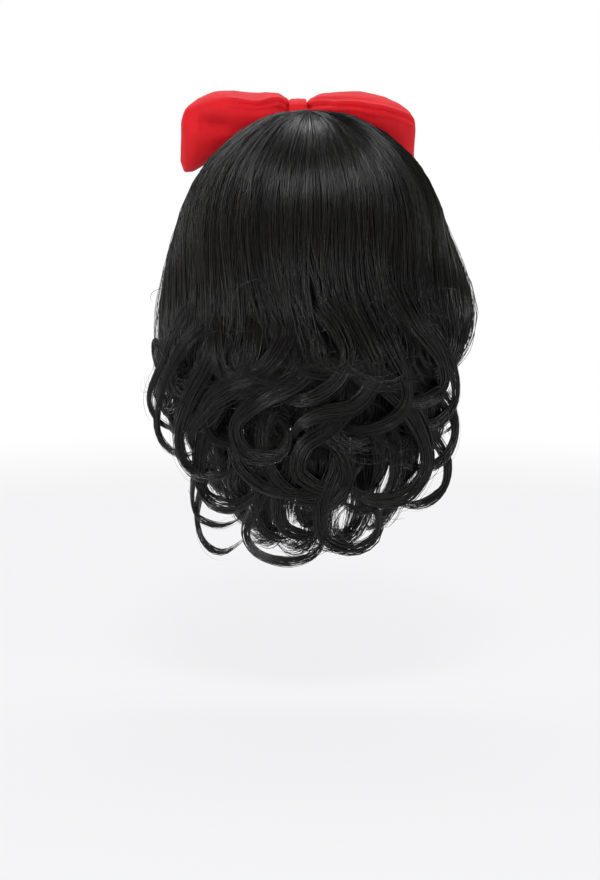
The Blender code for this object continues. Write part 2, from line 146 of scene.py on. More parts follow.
def makeStrandVariation():
    # one value for each strand, and a slow change along it, from the strand's own column
    group = bpy.data.node_groups.new("strandVariation", "ShaderNodeTree")
    for name, low in (("Darkest", 0.0), ("Lightest", 1.0), ("Streaks", 900.0)):
        socket = group.interface.new_socket(name, in_out="INPUT", socket_type="NodeSocketFloat")
        socket.default_value = low
    group.interface.new_socket("Shade", in_out="OUTPUT", socket_type="NodeSocketFloat")
    nodes, links = group.nodes, group.links
    takes = nodes.new("NodeGroupInput")
    gives = nodes.new("NodeGroupOutput")
    layout = nodes.new("ShaderNodeUVMap")
    layout.uv_map = "OFBake"
    split = nodes.new("ShaderNodeSeparateXYZ")
    links.new(layout.outputs["UV"], split.inputs["Vector"])
    column = nodes.new("ShaderNodeMath")
    column.operation = "MULTIPLY"
    links.new(split.outputs["X"], column.inputs[0])
    links.new(takes.outputs["Streaks"], column.inputs[1])
    along = nodes.new("ShaderNodeMath")
    along.operation = "MULTIPLY"
    along.inputs[1].default_value = 3.0
    links.new(split.outputs["Y"], along.inputs[0])
    both = nodes.new("ShaderNodeCombineXYZ")
    links.new(column.outputs["Value"], both.inputs["X"])
    links.new(along.outputs["Value"], both.inputs["Y"])
    noise = nodes.new("ShaderNodeTexNoise")
    noise.inputs["Scale"].default_value = 1.0
    noise.inputs["Detail"].default_value = 2.0
    links.new(both.outputs["Vector"], noise.inputs["Vector"])
    spread = nodes.new("ShaderNodeMapRange")
    spread.inputs["From Min"].default_value = 0.3
    spread.inputs["From Max"].default_value = 0.7
    links.new(noise.outputs["Fac"], spread.inputs["Value"])
    links.new(takes.outputs["Darkest"], spread.inputs["To Min"])
    links.new(takes.outputs["Lightest"], spread.inputs["To Max"])
    links.new(spread.outputs["Result"], gives.inputs["Shade"])
    return group


strandVariation = makeStrandVariation()

hairLook = {
    "darkTone": (0.0012, 0.0011, 0.0011), "lightTone": (0.0084, 0.0066, 0.0053),
    "glossiest": 0.22, "roughest": 0.38, "specular": 0.44, "streaks": 700.0,
}
# the hair that lies under the outer strands, and shows only between them: painted shade, darker and duller
# than the outer hair
shadowLook = {
    "darkTone": (0.0010, 0.0010, 0.0010), "lightTone": (0.0060, 0.0052, 0.0046),
    "glossiest": 0.55, "roughest": 0.85, "specular": 0.16, "streaks": 260.0,
}


def makeHairMaterial(name, look):
    material, nodes, links, shader = newMaterial(name, look["roughest"], specular=look["specular"])
    tone = nodes.new("ShaderNodeGroup")
    tone.node_tree = strandVariation
    tone.inputs["Streaks"].default_value = look["streaks"]
    tones = mixTones(nodes, links, tone.outputs["Shade"], look["darkTone"], look["lightTone"])
    links.new(tones, shader.inputs["Base Color"])
    gloss = nodes.new("ShaderNodeGroup")
    gloss.node_tree = strandVariation
    gloss.inputs["Darkest"].default_value = look["glossiest"]
    gloss.inputs["Lightest"].default_value = look["roughest"]
    gloss.inputs["Streaks"].default_value = look["streaks"] * 1.9
    links.new(gloss.outputs["Shade"], shader.inputs["Roughness"])
    return material


# the body that fills a lock under its outer strands, dark with painted shade, in metres; one that hangs
# behind the curls goes down in a soft wave, narrows, and ends unevenly
coreLook = {
    "corners": 22, "rings": 30, "thick": 0.0022, "spread": 1.02, "sink": 0.0038,
    "squareness": 1.25, "shareOfCurlWidth": 0.55, "shareOfCurlThick": 0.45,
    "wave": 0.0065, "waveTurn": 7.0, "footNarrows": 0.18, "footEnds": (-0.018, 0.012),
}

hairMaterial = makeHairMaterial("blackHair", hairLook)
# the shadow look is painted shade on the hair among and under the strands
shadowMaterial = makeHairMaterial("hairShadow", shadowLook)


def coreLayout(count):
    # columns of the layout run down the body, so that its streaks do too
    corners = coreLook["corners"]
    rings = count // corners
    u = np.arange(corners) / corners
    v = np.arange(rings) / rings
    u0 = np.broadcast_to(u[None, :], (rings, corners))
    v0 = np.broadcast_to(v[:, None], (rings, corners))
    u1 = u0 + 1.0 / corners
    v1 = v0 + 1.0 / rings
    layout = [np.stack(spot, -1) for spot in ((u0, v0), (u0, v1), (u1, v1), (u1, v0))]
    return np.stack(layout, axis=-2).reshape(-1, 2)


def strandMesh(name, paths, radii, core):
    # three-sided tapering tubes along paths (strand, step, xyz), and the body under them
    strands, steps, _ = paths.shape
    ahead = unit(np.gradient(paths, axis=1))
    side = unit(np.cross(ahead[:, 0], np.array([0.31, 0.87, 0.39])))
    sides = np.empty_like(paths)
    for i in range(steps):
        side = unit(side - ahead[:, i] * (side * ahead[:, i]).sum(axis=1, keepdims=True))
        sides[:, i] = side
    ups = np.cross(sides, ahead)
    corners = 3
    points = np.empty((strands, steps, corners, 3))
    for c in range(corners):
        turn = 2 * math.pi * c / corners
        points[:, :, c] = paths + (sides * math.cos(turn) + ups * math.sin(turn)) * radii[..., None]
    index = np.arange(strands * steps * corners).reshape(strands, steps, corners)
    after = np.roll(index, -1, axis=2)
    quads = np.stack([index[:, :-1], after[:, :-1], after[:, 1:], index[:, 1:]], axis=-1).reshape(-1, 4)
    # each strand keeps a narrow column of the layout to itself
    within = 0.15 + 0.7 * np.arange(corners)[None, None, :] / corners
    u0 = (np.arange(strands)[:, None, None] + within) / strands
    u1 = u0 + 0.7 / corners / strands
    v = np.linspace(0.0, 1.0, steps)
    v0 = np.broadcast_to(v[None, :-1, None], (strands, steps - 1, corners))
    v1 = np.broadcast_to(v[None, 1:, None], (strands, steps - 1, corners))
    u0 = np.broadcast_to(u0, v0.shape)
    u1 = np.broadcast_to(u1, v0.shape)
    layout = [np.stack(spot, -1) for spot in ((u0, v0), (u1, v0), (u1, v1), (u0, v1))]
    uvs = np.stack(layout, axis=-2).reshape(-1, 2)
    verts = points.reshape(-1, 3)
    coreVerts, coreQuads = core
    # the strands take the hair, the body under them the hair with painted shade
    slots = np.repeat(np.array([0, 1], dtype=np.int32), [len(quads), len(coreQuads)])
    quads = np.concatenate([quads, coreQuads + len(verts)])
    verts = np.concatenate([verts, coreVerts])
    uvs = np.concatenate([uvs, coreLayout(len(coreQuads))])
    mesh = bpy.data.meshes.new(name)
    mesh.vertices.add(len(verts))
    mesh.vertices.foreach_set("co", verts.astype(np.float32).ravel())
    mesh.loops.add(len(quads) * 4)
    mesh.loops.foreach_set("vertex_index", quads.astype(np.int32).ravel())
    mesh.polygons.add(len(quads))
    mesh.polygons.foreach_set("loop_start", np.arange(0, len(quads) * 4, 4, dtype=np.int32))
    mesh.polygons.foreach_set("material_index", slots)
    mesh.update(calc_edges=True)
    mesh.uv_layers.new(name="OFBake")
    mesh.uv_layers["OFBake"].data.foreach_set("uv", uvs.astype(np.float32).ravel())
    mesh.shade_smooth()
    mesh.materials.append(hairMaterial)
    mesh.materials.append(shadowMaterial)
    thing = bpy.data.objects.new(name, mesh)
    scene.collection.objects.link(thing)
    return thing


fineSteps = 96       # along a line that strands are read from
strandSteps = 23     # along a strand


def unit(lines):
    return lines / np.maximum(np.linalg.norm(lines, axis=-1, keepdims=True), 1e-9)


def walkPath(starts, stretches, luck, looseness):
    # each tress walks the same stretches, with its own luck in how far and how much it turns
    count = len(starts)
    total = sum(row["run"] for row in stretches)
    place = starts.copy()
    ahead = np.tile([0.0, 1.0, 0.0], (count, 1))
    across = np.tile([1.0, 0.0, 0.0], (count, 1))
    out = np.tile([0.0, 0.0, 1.0], (count, 1))
    places, acrosses, outs = [place.copy()], [across.copy()], [out.copy()]
    for row in stretches:
        steps = max(2, round(fineSteps * row["run"] / total))
        step = row["run"] / steps * (1.0 + 0.5 * looseness * luck.normal(size=(count, 1)))
        turn = math.radians(row["turn"]) / steps * (1.0 + looseness * luck.normal(size=(count, 1)))
        toward = np.radians(row["toward"] + 40.0 * looseness * luck.normal(size=(count, 1)))
        for _ in range(steps):
            bend = np.cos(toward) * across + np.sin(toward) * out
            axis = np.cross(ahead, bend)
            ahead = unit(ahead * np.cos(turn) + bend * np.sin(turn))
            newBend = unit(np.cross(axis, ahead))
            axis = unit(np.cross(ahead, newBend))
            # across and out stay square to the new way ahead
            across = unit(np.cos(toward) * newBend + np.sin(toward) * axis)
            out = unit(np.sin(toward) * newBend - np.cos(toward) * axis)
            place = place + ahead * step
            place[:, 2] += row.get("lift", 0.0) / steps
            places.append(place.copy())
            acrosses.append(across.copy())
            outs.append(out.copy())
    return np.stack(places, 1), np.stack(acrosses, 1), np.stack(outs, 1)


def readAlong(lines, where):
    # values of lines (tress, step, xyz) at fractional places (tress, sample) from 0 to 1
    spot = np.clip(where, 0.0, 1.0) * (lines.shape[1] - 1)
    low = np.minimum(spot.astype(int), lines.shape[1] - 2)
    part = (spot - low)[..., None]
    rows = np.arange(lines.shape[0])[:, None]
    return lines[rows, low] * (1.0 - part) + lines[rows, low + 1] * part


# what all locks share, in metres: a strand's radius, how far tresses wander, how
# flat they lie and how unevenly deep, and how many strands stray and how far
lockLook = {
    "radius": 0.00034, "radii": (0.7, 1.25), "wander": 0.0016, "wanders": (5, 11),
    "flat": 0.0013, "depths": 0.0018, "ripple": 0.0004, "ripples": (14, 34),
    "twist": 1.2, "strays": 12, "strayAcross": 0.007, "strayOut": (0.002, 0.008),
    "strayThinner": 0.45, "rootDepth": 0.0022, "rootRun": 0.10,
}


def lockStrands(lock):
    luck = np.random.default_rng(lock["seed"])
    tresses = lock.get("tresses", 9)
    looseness = lock.get("looseness", 0.08)
    sideShare = np.linspace(-1.0, 1.0, tresses) * (1.0 - 0.6 / tresses)
    luck.shuffle(sideShare)
    starts = np.zeros((tresses, 3))
    starts[:, 0] = sideShare * lock["room"]
    starts[:, 1] = lock["start"]
    starts[:, 2] = -lock["depth"] - lockLook["depths"] * luck.random(tresses)
    places, acrosses, outs = walkPath(starts, lock["stretches"], luck, looseness)
    share = np.linspace(0.0, 1.0, places.shape[1])[None, :, None]
    # the tresses draw together where the curl begins
    curlAt = lock["curlAt"]
    gathered = smoothStep((share - curlAt + 0.12) / 0.3)
    middle = places.mean(axis=0, keepdims=True)
    places = middle + (places - middle) * (1.0 + (lock["gather"] - 1.0) * gathered)
    wanders = share * luck.uniform(*lockLook["wanders"], (tresses, 1, 1))
    wander = np.sin(wanders + luck.uniform(0, 6.3, (tresses, 1, 1)))
    places = places + acrosses * wander * lockLook["wander"] * smoothStep(share * 4)
    # strands within each tress, with more of their steps in the curl than in the fall
    strands = lock["strands"]
    tress = np.arange(strands) % tresses
    begin = lock.get("rootSpread", 0.0) * luck.random(strands)
    begin[: strands // 8] = 0.0
    end = 1.0 - lock.get("tipSpread", 0.14) * luck.random(strands) ** 1.5
    along = np.linspace(0.0, 1.0, strandSteps)
    warp = np.interp(along, [0.0, 0.40, 1.0], [0.0, max(0.40, curlAt * 0.92), 1.0])
    where = begin[:, None] + (end - begin)[:, None] * warp[None, :]
    centre = readAlong(places[tress], where)
    across = readAlong(acrosses[tress], where)
    out = readAlong(outs[tress], where)
    angle = luck.uniform(0, 2 * math.pi, strands)
    reach = np.sqrt(luck.random(strands))
    curled = smoothStep((where - curlAt + 0.15) / 0.3)
    tips = 1.0 - smoothStep((where - 0.74) / 0.26) * lock.get("pinch", 0.88)
    tressWidth = lock["room"] / tresses * 2.0
    tressThick = lockLook["flat"]
    wide = (tressWidth + (lock["curlWidth"] - tressWidth) * curled) * tips
    thick = (tressThick + (lock["curlThick"] - tressThick) * curled) * tips
    twist = lockLook["twist"] * curled * where * luck.choice([-1, 1]) + angle[:, None]
    waves = luck.uniform(*lockLook["ripples"], strands)[:, None]
    ripple = lockLook["ripple"] * np.sin(where * waves + luck.uniform(0, 6.3, strands)[:, None])
    local = centre + across * (np.cos(twist) * reach[:, None] * wide + ripple)[..., None]
    local = local + out * (np.sin(twist) * reach[:, None] * thick)[..., None]
    # a few strands stray from the rest
    stray = np.zeros(strands)
    stray[-lockLook["strays"]:] = 1.0
    drift = smoothStep((where - 0.25) / 0.75) * stray[:, None]
    local[..., 0] += drift * luck.normal(size=(strands, 1)) * lockLook["strayAcross"]
    local[..., 2] += drift * luck.uniform(*lockLook["strayOut"], (strands, 1))
    # roots come up from under their neighbours
    sunk = 1.0 - smoothStep((where - begin[:, None]) / lockLook["rootRun"])
    local[..., 2] -= lockLook["rootDepth"] * sunk * (begin > 0.0)[:, None]
    paths = onHead(local, lock["bearing"])
    taper = (0.55 + 0.45 * smoothStep(along * 8)) * (1.0 - 0.85 * smoothStep((along - 0.75) / 0.25))
    radii = lockLook["radius"] * luck.uniform(*lockLook["radii"], (strands, 1))
    radii = radii * (1.0 - lockLook["strayThinner"] * stray[:, None]) * taper
    return paths, radii, lockCore(lock, middle[0], acrosses.mean(0), outs.mean(0))


def lockCore(lock, middle, across, out):
    # a closed body, dark with painted shade, that fills the lock under its outer strands
    rings, corners = coreLook["rings"], coreLook["corners"]
    jag = np.zeros(corners)
    index = (np.linspace(0.0, 0.9 * lock["curlAt"] + 0.06, rings) * (len(middle) - 1)).astype(int)
    share = index / (len(middle) - 1)
    curled = smoothStep((share - lock["curlAt"] + 0.12) / 0.3)[:, None]
    if "coreTo" in lock:
        # the body hangs down behind the curls in one soft wave, so that they close over it
        middle = np.zeros_like(middle)
        middle[:, 1] = np.linspace(lock["start"] + 0.004, lock["coreTo"], len(middle))
        fallen = np.linspace(0.0, 1.0, len(middle))
        middle[:, 0] = coreLook["wave"] * smoothStep(1.5 * fallen) * np.sin(coreLook["waveTurn"] * fallen)
        middle[:, 2] = -lock["depth"]
        across = np.tile([1.0, 0.0, 0.0], (len(middle), 1))
        out = np.tile([0.0, 0.0, 1.0], (len(middle), 1))
        index = np.linspace(0, len(middle) - 1, rings).astype(int)
        curled = np.zeros((rings, 1))
        jag = np.random.default_rng(lock["seed"] + 900).uniform(*coreLook["footEnds"], corners)
    half = lock["room"] * lock.get("coreSpread", coreLook["spread"]) * (1 - curled)
    half = half + lock["curlWidth"] * coreLook["shareOfCurlWidth"] * curled
    if "coreTo" in lock:
        foot = smoothStep((np.linspace(0.0, 1.0, rings)[:, None] - 0.55) / 0.45)
        half = half * (1.0 - coreLook["footNarrows"] * foot)
    thick = coreLook["thick"] * (1 - curled) + lock["curlThick"] * coreLook["shareOfCurlThick"] * curled
    ends = np.minimum(1.0, np.sqrt(np.maximum(0.02, (1.0 - np.linspace(0, 1, rings)) * 5)))[:, None]
    turn = np.linspace(0, 2 * math.pi, corners, endpoint=False)[None, :]
    du = np.clip(np.cos(turn) * coreLook["squareness"], -1, 1) * half * ends
    dv = np.sin(turn) * thick * ends
    sink = lock.get("coreSink", coreLook["sink"]) * (1 - curled)
    local = middle[index][:, None, :] + across[index][:, None, :] * du[..., None]
    local = local + out[index][:, None, :] * (dv - sink)[..., None]
    local[..., 1] += jag[None, :] * np.linspace(0.0, 1.0, rings)[:, None] ** 3
    points = onHead(local, lock["bearing"]).reshape(-1, 3)
    grid = np.arange(rings * corners).reshape(rings, corners)
    after = np.roll(grid, -1, axis=1)
    quads = np.stack([grid[:-1], grid[1:], after[1:], after[:-1]], axis=-1).reshape(-1, 4)
    return points, quads


# left, drop and out are millimetres on a template held against the back, its
# foot drawn in by tip degrees: left from the middle, drop from the crown. away is
# how far off the template is read from, and a pixel is so many millimetres there.
template = {
    "tip": 10.0, "top": 0.01275, "middle": 250.0, "scale": 1.012, "away": 1.703, "shift": 0.002,
    "middlePixel": 307, "crownPixel": 107, "pixel": 0.75,
}


def fromPhoto(line):
    across, down, out = np.array(line, float).T
    left = (template["middlePixel"] - across) * template["pixel"]
    drop = (down - template["crownPixel"]) * template["pixel"]
    return np.stack([left, drop, out], axis=-1)


def onBack(line):
    left, drop, out = line[..., 0], line[..., 1], line[..., 2] / 1000.0
    tip = math.radians(template["tip"])
    y = np.full_like(left, 0.1)
    for _ in range(6):
        # the template is a little smaller where the hair stands nearer to it
        near = template["scale"] * (1.0 - y / template["away"])
        x = template["shift"] + left * near / 1000.0
        up = template["top"] - (template["middle"] + (drop - template["middle"]) * near) / 1000.0
        z = (up + y * math.sin(tip)) / math.cos(tip)
        level = np.clip(1.0 + (-form["headRise"] - z) / form["hairFall"], 0.3, 1.86)
        a = np.where(x > 0, outerRadius(90.0, level), outerRadius(-90.0, level))
        b = outerRadius(0.0, level)
        # past the sides the curls hang free, and stay back
        edge = (x / a) ** 2
        y = b * np.sqrt(1.0 - 0.9 * (1.0 - np.exp(-(edge + 0.35 * edge ** 3) / 0.9)))
    facing = unit(np.stack([x / a ** 2, np.maximum(y, 0.002) / b ** 2, np.zeros_like(x)], axis=-1))
    return np.stack([x, y, z], axis=-1) + facing * out[..., None], facing


def smoothLine(points, count):
    # an even, rounded line through a few points
    points = np.array(points, float)
    padded = np.vstack([2 * points[0] - points[1], points, 2 * points[-1] - points[-2]])
    dense = []
    for i in range(1, len(padded) - 2):
        a, b, c, d = padded[i - 1:i + 3]
        t = np.linspace(0, 1, 24, endpoint=i == len(padded) - 3)[:, None]
        bend = (2 * a - 5 * b + 4 * c - d) * t ** 2 + (3 * b - a - 3 * c + d) * t ** 3
        dense.append(0.5 * (2 * b + (c - a) * t + bend))
    dense = np.vstack(dense)
    run = np.concatenate([[0], np.cumsum(np.linalg.norm(np.diff(dense, axis=0), axis=1))])
    even = np.linspace(0, run[-1], count)
    return np.stack([np.interp(even, run, dense[:, k]) for k in range(3)], axis=-1)


# what the shaped curls share, in metres; the widths are shares of a curl's own: it is
# widest at its root, narrows as it falls and closes at its tip
curlLook = {
    "radius": 0.00033, "radii": (0.6, 1.2), "ripple": 0.0024, "ripples": (5, 13),
    "rootWidth": 1.30, "narrows": 0.42, "closes": 0.74, "fullness": 1.08,
    "flatness": 0.36, "twist": 0.9, "beginSpread": 0.10, "endSpread": 0.16,
    "strays": 3, "strayBy": (0.001, 0.006), "strayThin": 0.3,
}


def curlStrands(row, middle, facing, seed):
    # one shaped curl: its strands lie side by side along the line and close at the tip
    luck = np.random.default_rng(seed)
    strands = row["strands"]
    ahead = unit(np.gradient(middle, axis=0))
    out = unit(facing - ahead * (facing * ahead).sum(1, keepdims=True))
    across = np.cross(out, ahead)
    begin = curlLook["beginSpread"] * luck.random(strands)
    end = 1.0 - curlLook["endSpread"] * luck.random(strands) ** 1.4
    where = begin[:, None] + (end - begin)[:, None] * np.linspace(0, 1, strandSteps)[None, :]
    three = []
    for lines in (middle, across, out):
        three.append(readAlong(np.broadcast_to(lines, (strands, fineSteps, 3)), where))
    angle = luck.uniform(0, 2 * math.pi, strands)
    reach = np.sqrt(luck.random(strands))[:, None]
    full = curlLook["rootWidth"] - curlLook["narrows"] * smoothStep(where / 0.55)
    full = full * (1.0 - curlLook["closes"] * smoothStep((where - 0.62) / 0.38))
    wide = row["wide"] / 1000.0 * full * curlLook["fullness"]
    thick = wide * curlLook["flatness"]
    turn = angle[:, None] + luck.choice([-1, 1]) * curlLook["twist"] * where
    loose = luck.uniform(0.2, 1.0, (strands, 1)) ** 2
    waves = luck.uniform(*curlLook["ripples"], (strands, 1))
    ripple = curlLook["ripple"] * loose * np.sin(where * waves + luck.uniform(0, 6.3, (strands, 1)))
    ripple = ripple * (1.0 - 0.5 * where)
    few = curlLook["strays"]
    stray = np.zeros((strands, 1))
    stray[-few:] = luck.uniform(*curlLook["strayBy"], (few, 1)) * luck.choice([-1, 1], (few, 1))
    paths = three[0] + three[1] * (np.cos(turn) * reach * wide + ripple + stray * where)[..., None]
    paths = paths + three[2] * (np.sin(turn) * reach * thick + 0.4 * np.abs(stray) * where)[..., None]
    along = np.linspace(0.0, 1.0, strandSteps)[None, :]
    thin = np.where(stray != 0, curlLook["strayThin"], 1.0)
    radii = curlLook["radius"] * luck.uniform(*curlLook["radii"], (strands, 1)) * thin
    radii = radii * (0.5 + 0.5 * smoothStep(along * 6)) * (1.0 - 0.85 * smoothStep((along - 0.78) / 0.22))
    return paths, radii


def ringletLine(row):
    # a curl that winds once or more as it falls, for the sides
    t = np.linspace(0.0, 1.0, fineSteps)
    wind = 2 * math.pi * row["winds"] * t + row["from"]
    grow = row["radius"] * smoothStep(t / 0.35) * (1.0 - 0.25 * t)
    across = row["hand"] * grow * np.sin(wind)
    fallen = t - 0.16 * smoothStep((t - 0.7) / 0.3)
    down = row["start"] + row["fall"] * fallen + 0.35 * grow * np.cos(wind)
    out = row["depth"] + 0.7 * grow * (1.0 - np.cos(wind)) / 2 + 0.004 * smoothStep(t / 0.3)
    line = np.stack([across, down, out], axis=-1)
    middle = onHead(line, row["bearing"])
    return middle, unit(onHead(line + np.array([0.0, 0.0, 0.002]), row["bearing"]) - middle)


print("hair tools ready")

# Crown locks from the -X side of the face round the back to the +X side.
# fall is metres straight down, sway bends it, then it turns into its curl:
# turn in degrees (positive to +X), curl is its radius, tilt leans it out and lift
# raises it off the hair under it. The other two tables read the same.
crownLocks = [
    {"fall": 0.210, "sway": 6, "turn": 120, "curl": 0.022, "tilt": -50, "lift": 0.000},
    {"fall": 0.216, "sway": -5, "turn": 110, "curl": 0.022, "tilt": -50, "lift": 0.000},
    {"fall": 0.212, "sway": -6, "turn": 120, "curl": 0.022, "tilt": -40, "lift": 0.000},
    {"fall": 0.205, "sway": -14, "turn": 200, "curl": 0.019, "tilt": 12, "lift": 0.004},
    {"fall": 0.196, "sway": -20, "turn": 190, "curl": 0.025, "tilt": 10, "lift": 0.004},
    {"fall": 0.196, "sway": -18, "turn": 180, "curl": 0.020, "tilt": 10, "lift": 0.004},
    {"fall": 0.204, "sway": -12, "turn": 220, "curl": 0.018, "tilt": 8, "lift": 0.004},
    {"fall": 0.214, "sway": 8, "turn": -190, "curl": 0.020, "tilt": 10, "lift": 0.004},
    {"fall": 0.212, "sway": 8, "turn": -170, "curl": 0.022, "tilt": 12, "lift": 0.004},
    {"fall": 0.214, "sway": 6, "turn": -120, "curl": 0.022, "tilt": -40, "lift": 0.000},
    {"fall": 0.216, "sway": 5, "turn": -110, "curl": 0.022, "tilt": -50, "lift": 0.000},
    {"fall": 0.210, "sway": -6, "turn": -120, "curl": 0.022, "tilt": -50, "lift": 0.000},
]
crownLook = {"reach": 118.0, "strands": 190, "start": 0.002}

underLocks = [
    {"fall": 0.130, "sway": -8, "turn": 170, "curl": 0.018, "tilt": 20, "lift": 0.003},
    {"fall": 0.140, "sway": 8, "turn": 190, "curl": 0.018, "tilt": 20, "lift": 0.003},
    {"fall": 0.150, "sway": -8, "turn": 210, "curl": 0.018, "tilt": 20, "lift": 0.004},
    {"fall": 0.150, "sway": -14, "turn": 200, "curl": 0.018, "tilt": 20, "lift": 0.004},
    {"fall": 0.145, "sway": -10, "turn": 230, "curl": 0.019, "tilt": 15, "lift": 0.004},
    {"fall": 0.152, "sway": -8, "turn": 200, "curl": 0.018, "tilt": 15, "lift": 0.004},
    {"fall": 0.155, "sway": 8, "turn": -190, "curl": 0.017, "tilt": 15, "lift": 0.004},
    {"fall": 0.152, "sway": 8, "turn": -200, "curl": 0.018, "tilt": 15, "lift": 0.004},
    {"fall": 0.148, "sway": 10, "turn": -200, "curl": 0.018, "tilt": 20, "lift": 0.004},
    {"fall": 0.140, "sway": -8, "turn": -190, "curl": 0.018, "tilt": 20, "lift": 0.003},
    {"fall": 0.130, "sway": 8, "turn": -170, "curl": 0.018, "tilt": 20, "lift": 0.003},
]
underLook = {"reach": 104.0, "strands": 74, "start": 0.104, "depth": 0.010, "coreBeyond": 0.042}

napeLocks = [
    {"fall": 0.125, "turn": 200, "curl": 0.013, "tilt": 10},
    {"fall": 0.128, "turn": 250, "curl": 0.015, "tilt": 10},
    {"fall": 0.136, "turn": 170, "curl": 0.016, "tilt": 5},
    {"fall": 0.128, "turn": 150, "curl": 0.018, "tilt": 5},
    {"fall": 0.118, "turn": -200, "curl": 0.015, "tilt": 10},
    {"fall": 0.100, "turn": -200, "curl": 0.013, "tilt": 10},
]
napeLook = {
    "first": -60.0, "last": 76.0, "strands": 90, "start": 0.210, "depth": 0.016,
    "coreTo": 0.336, "endsShorter": 0.032,
}
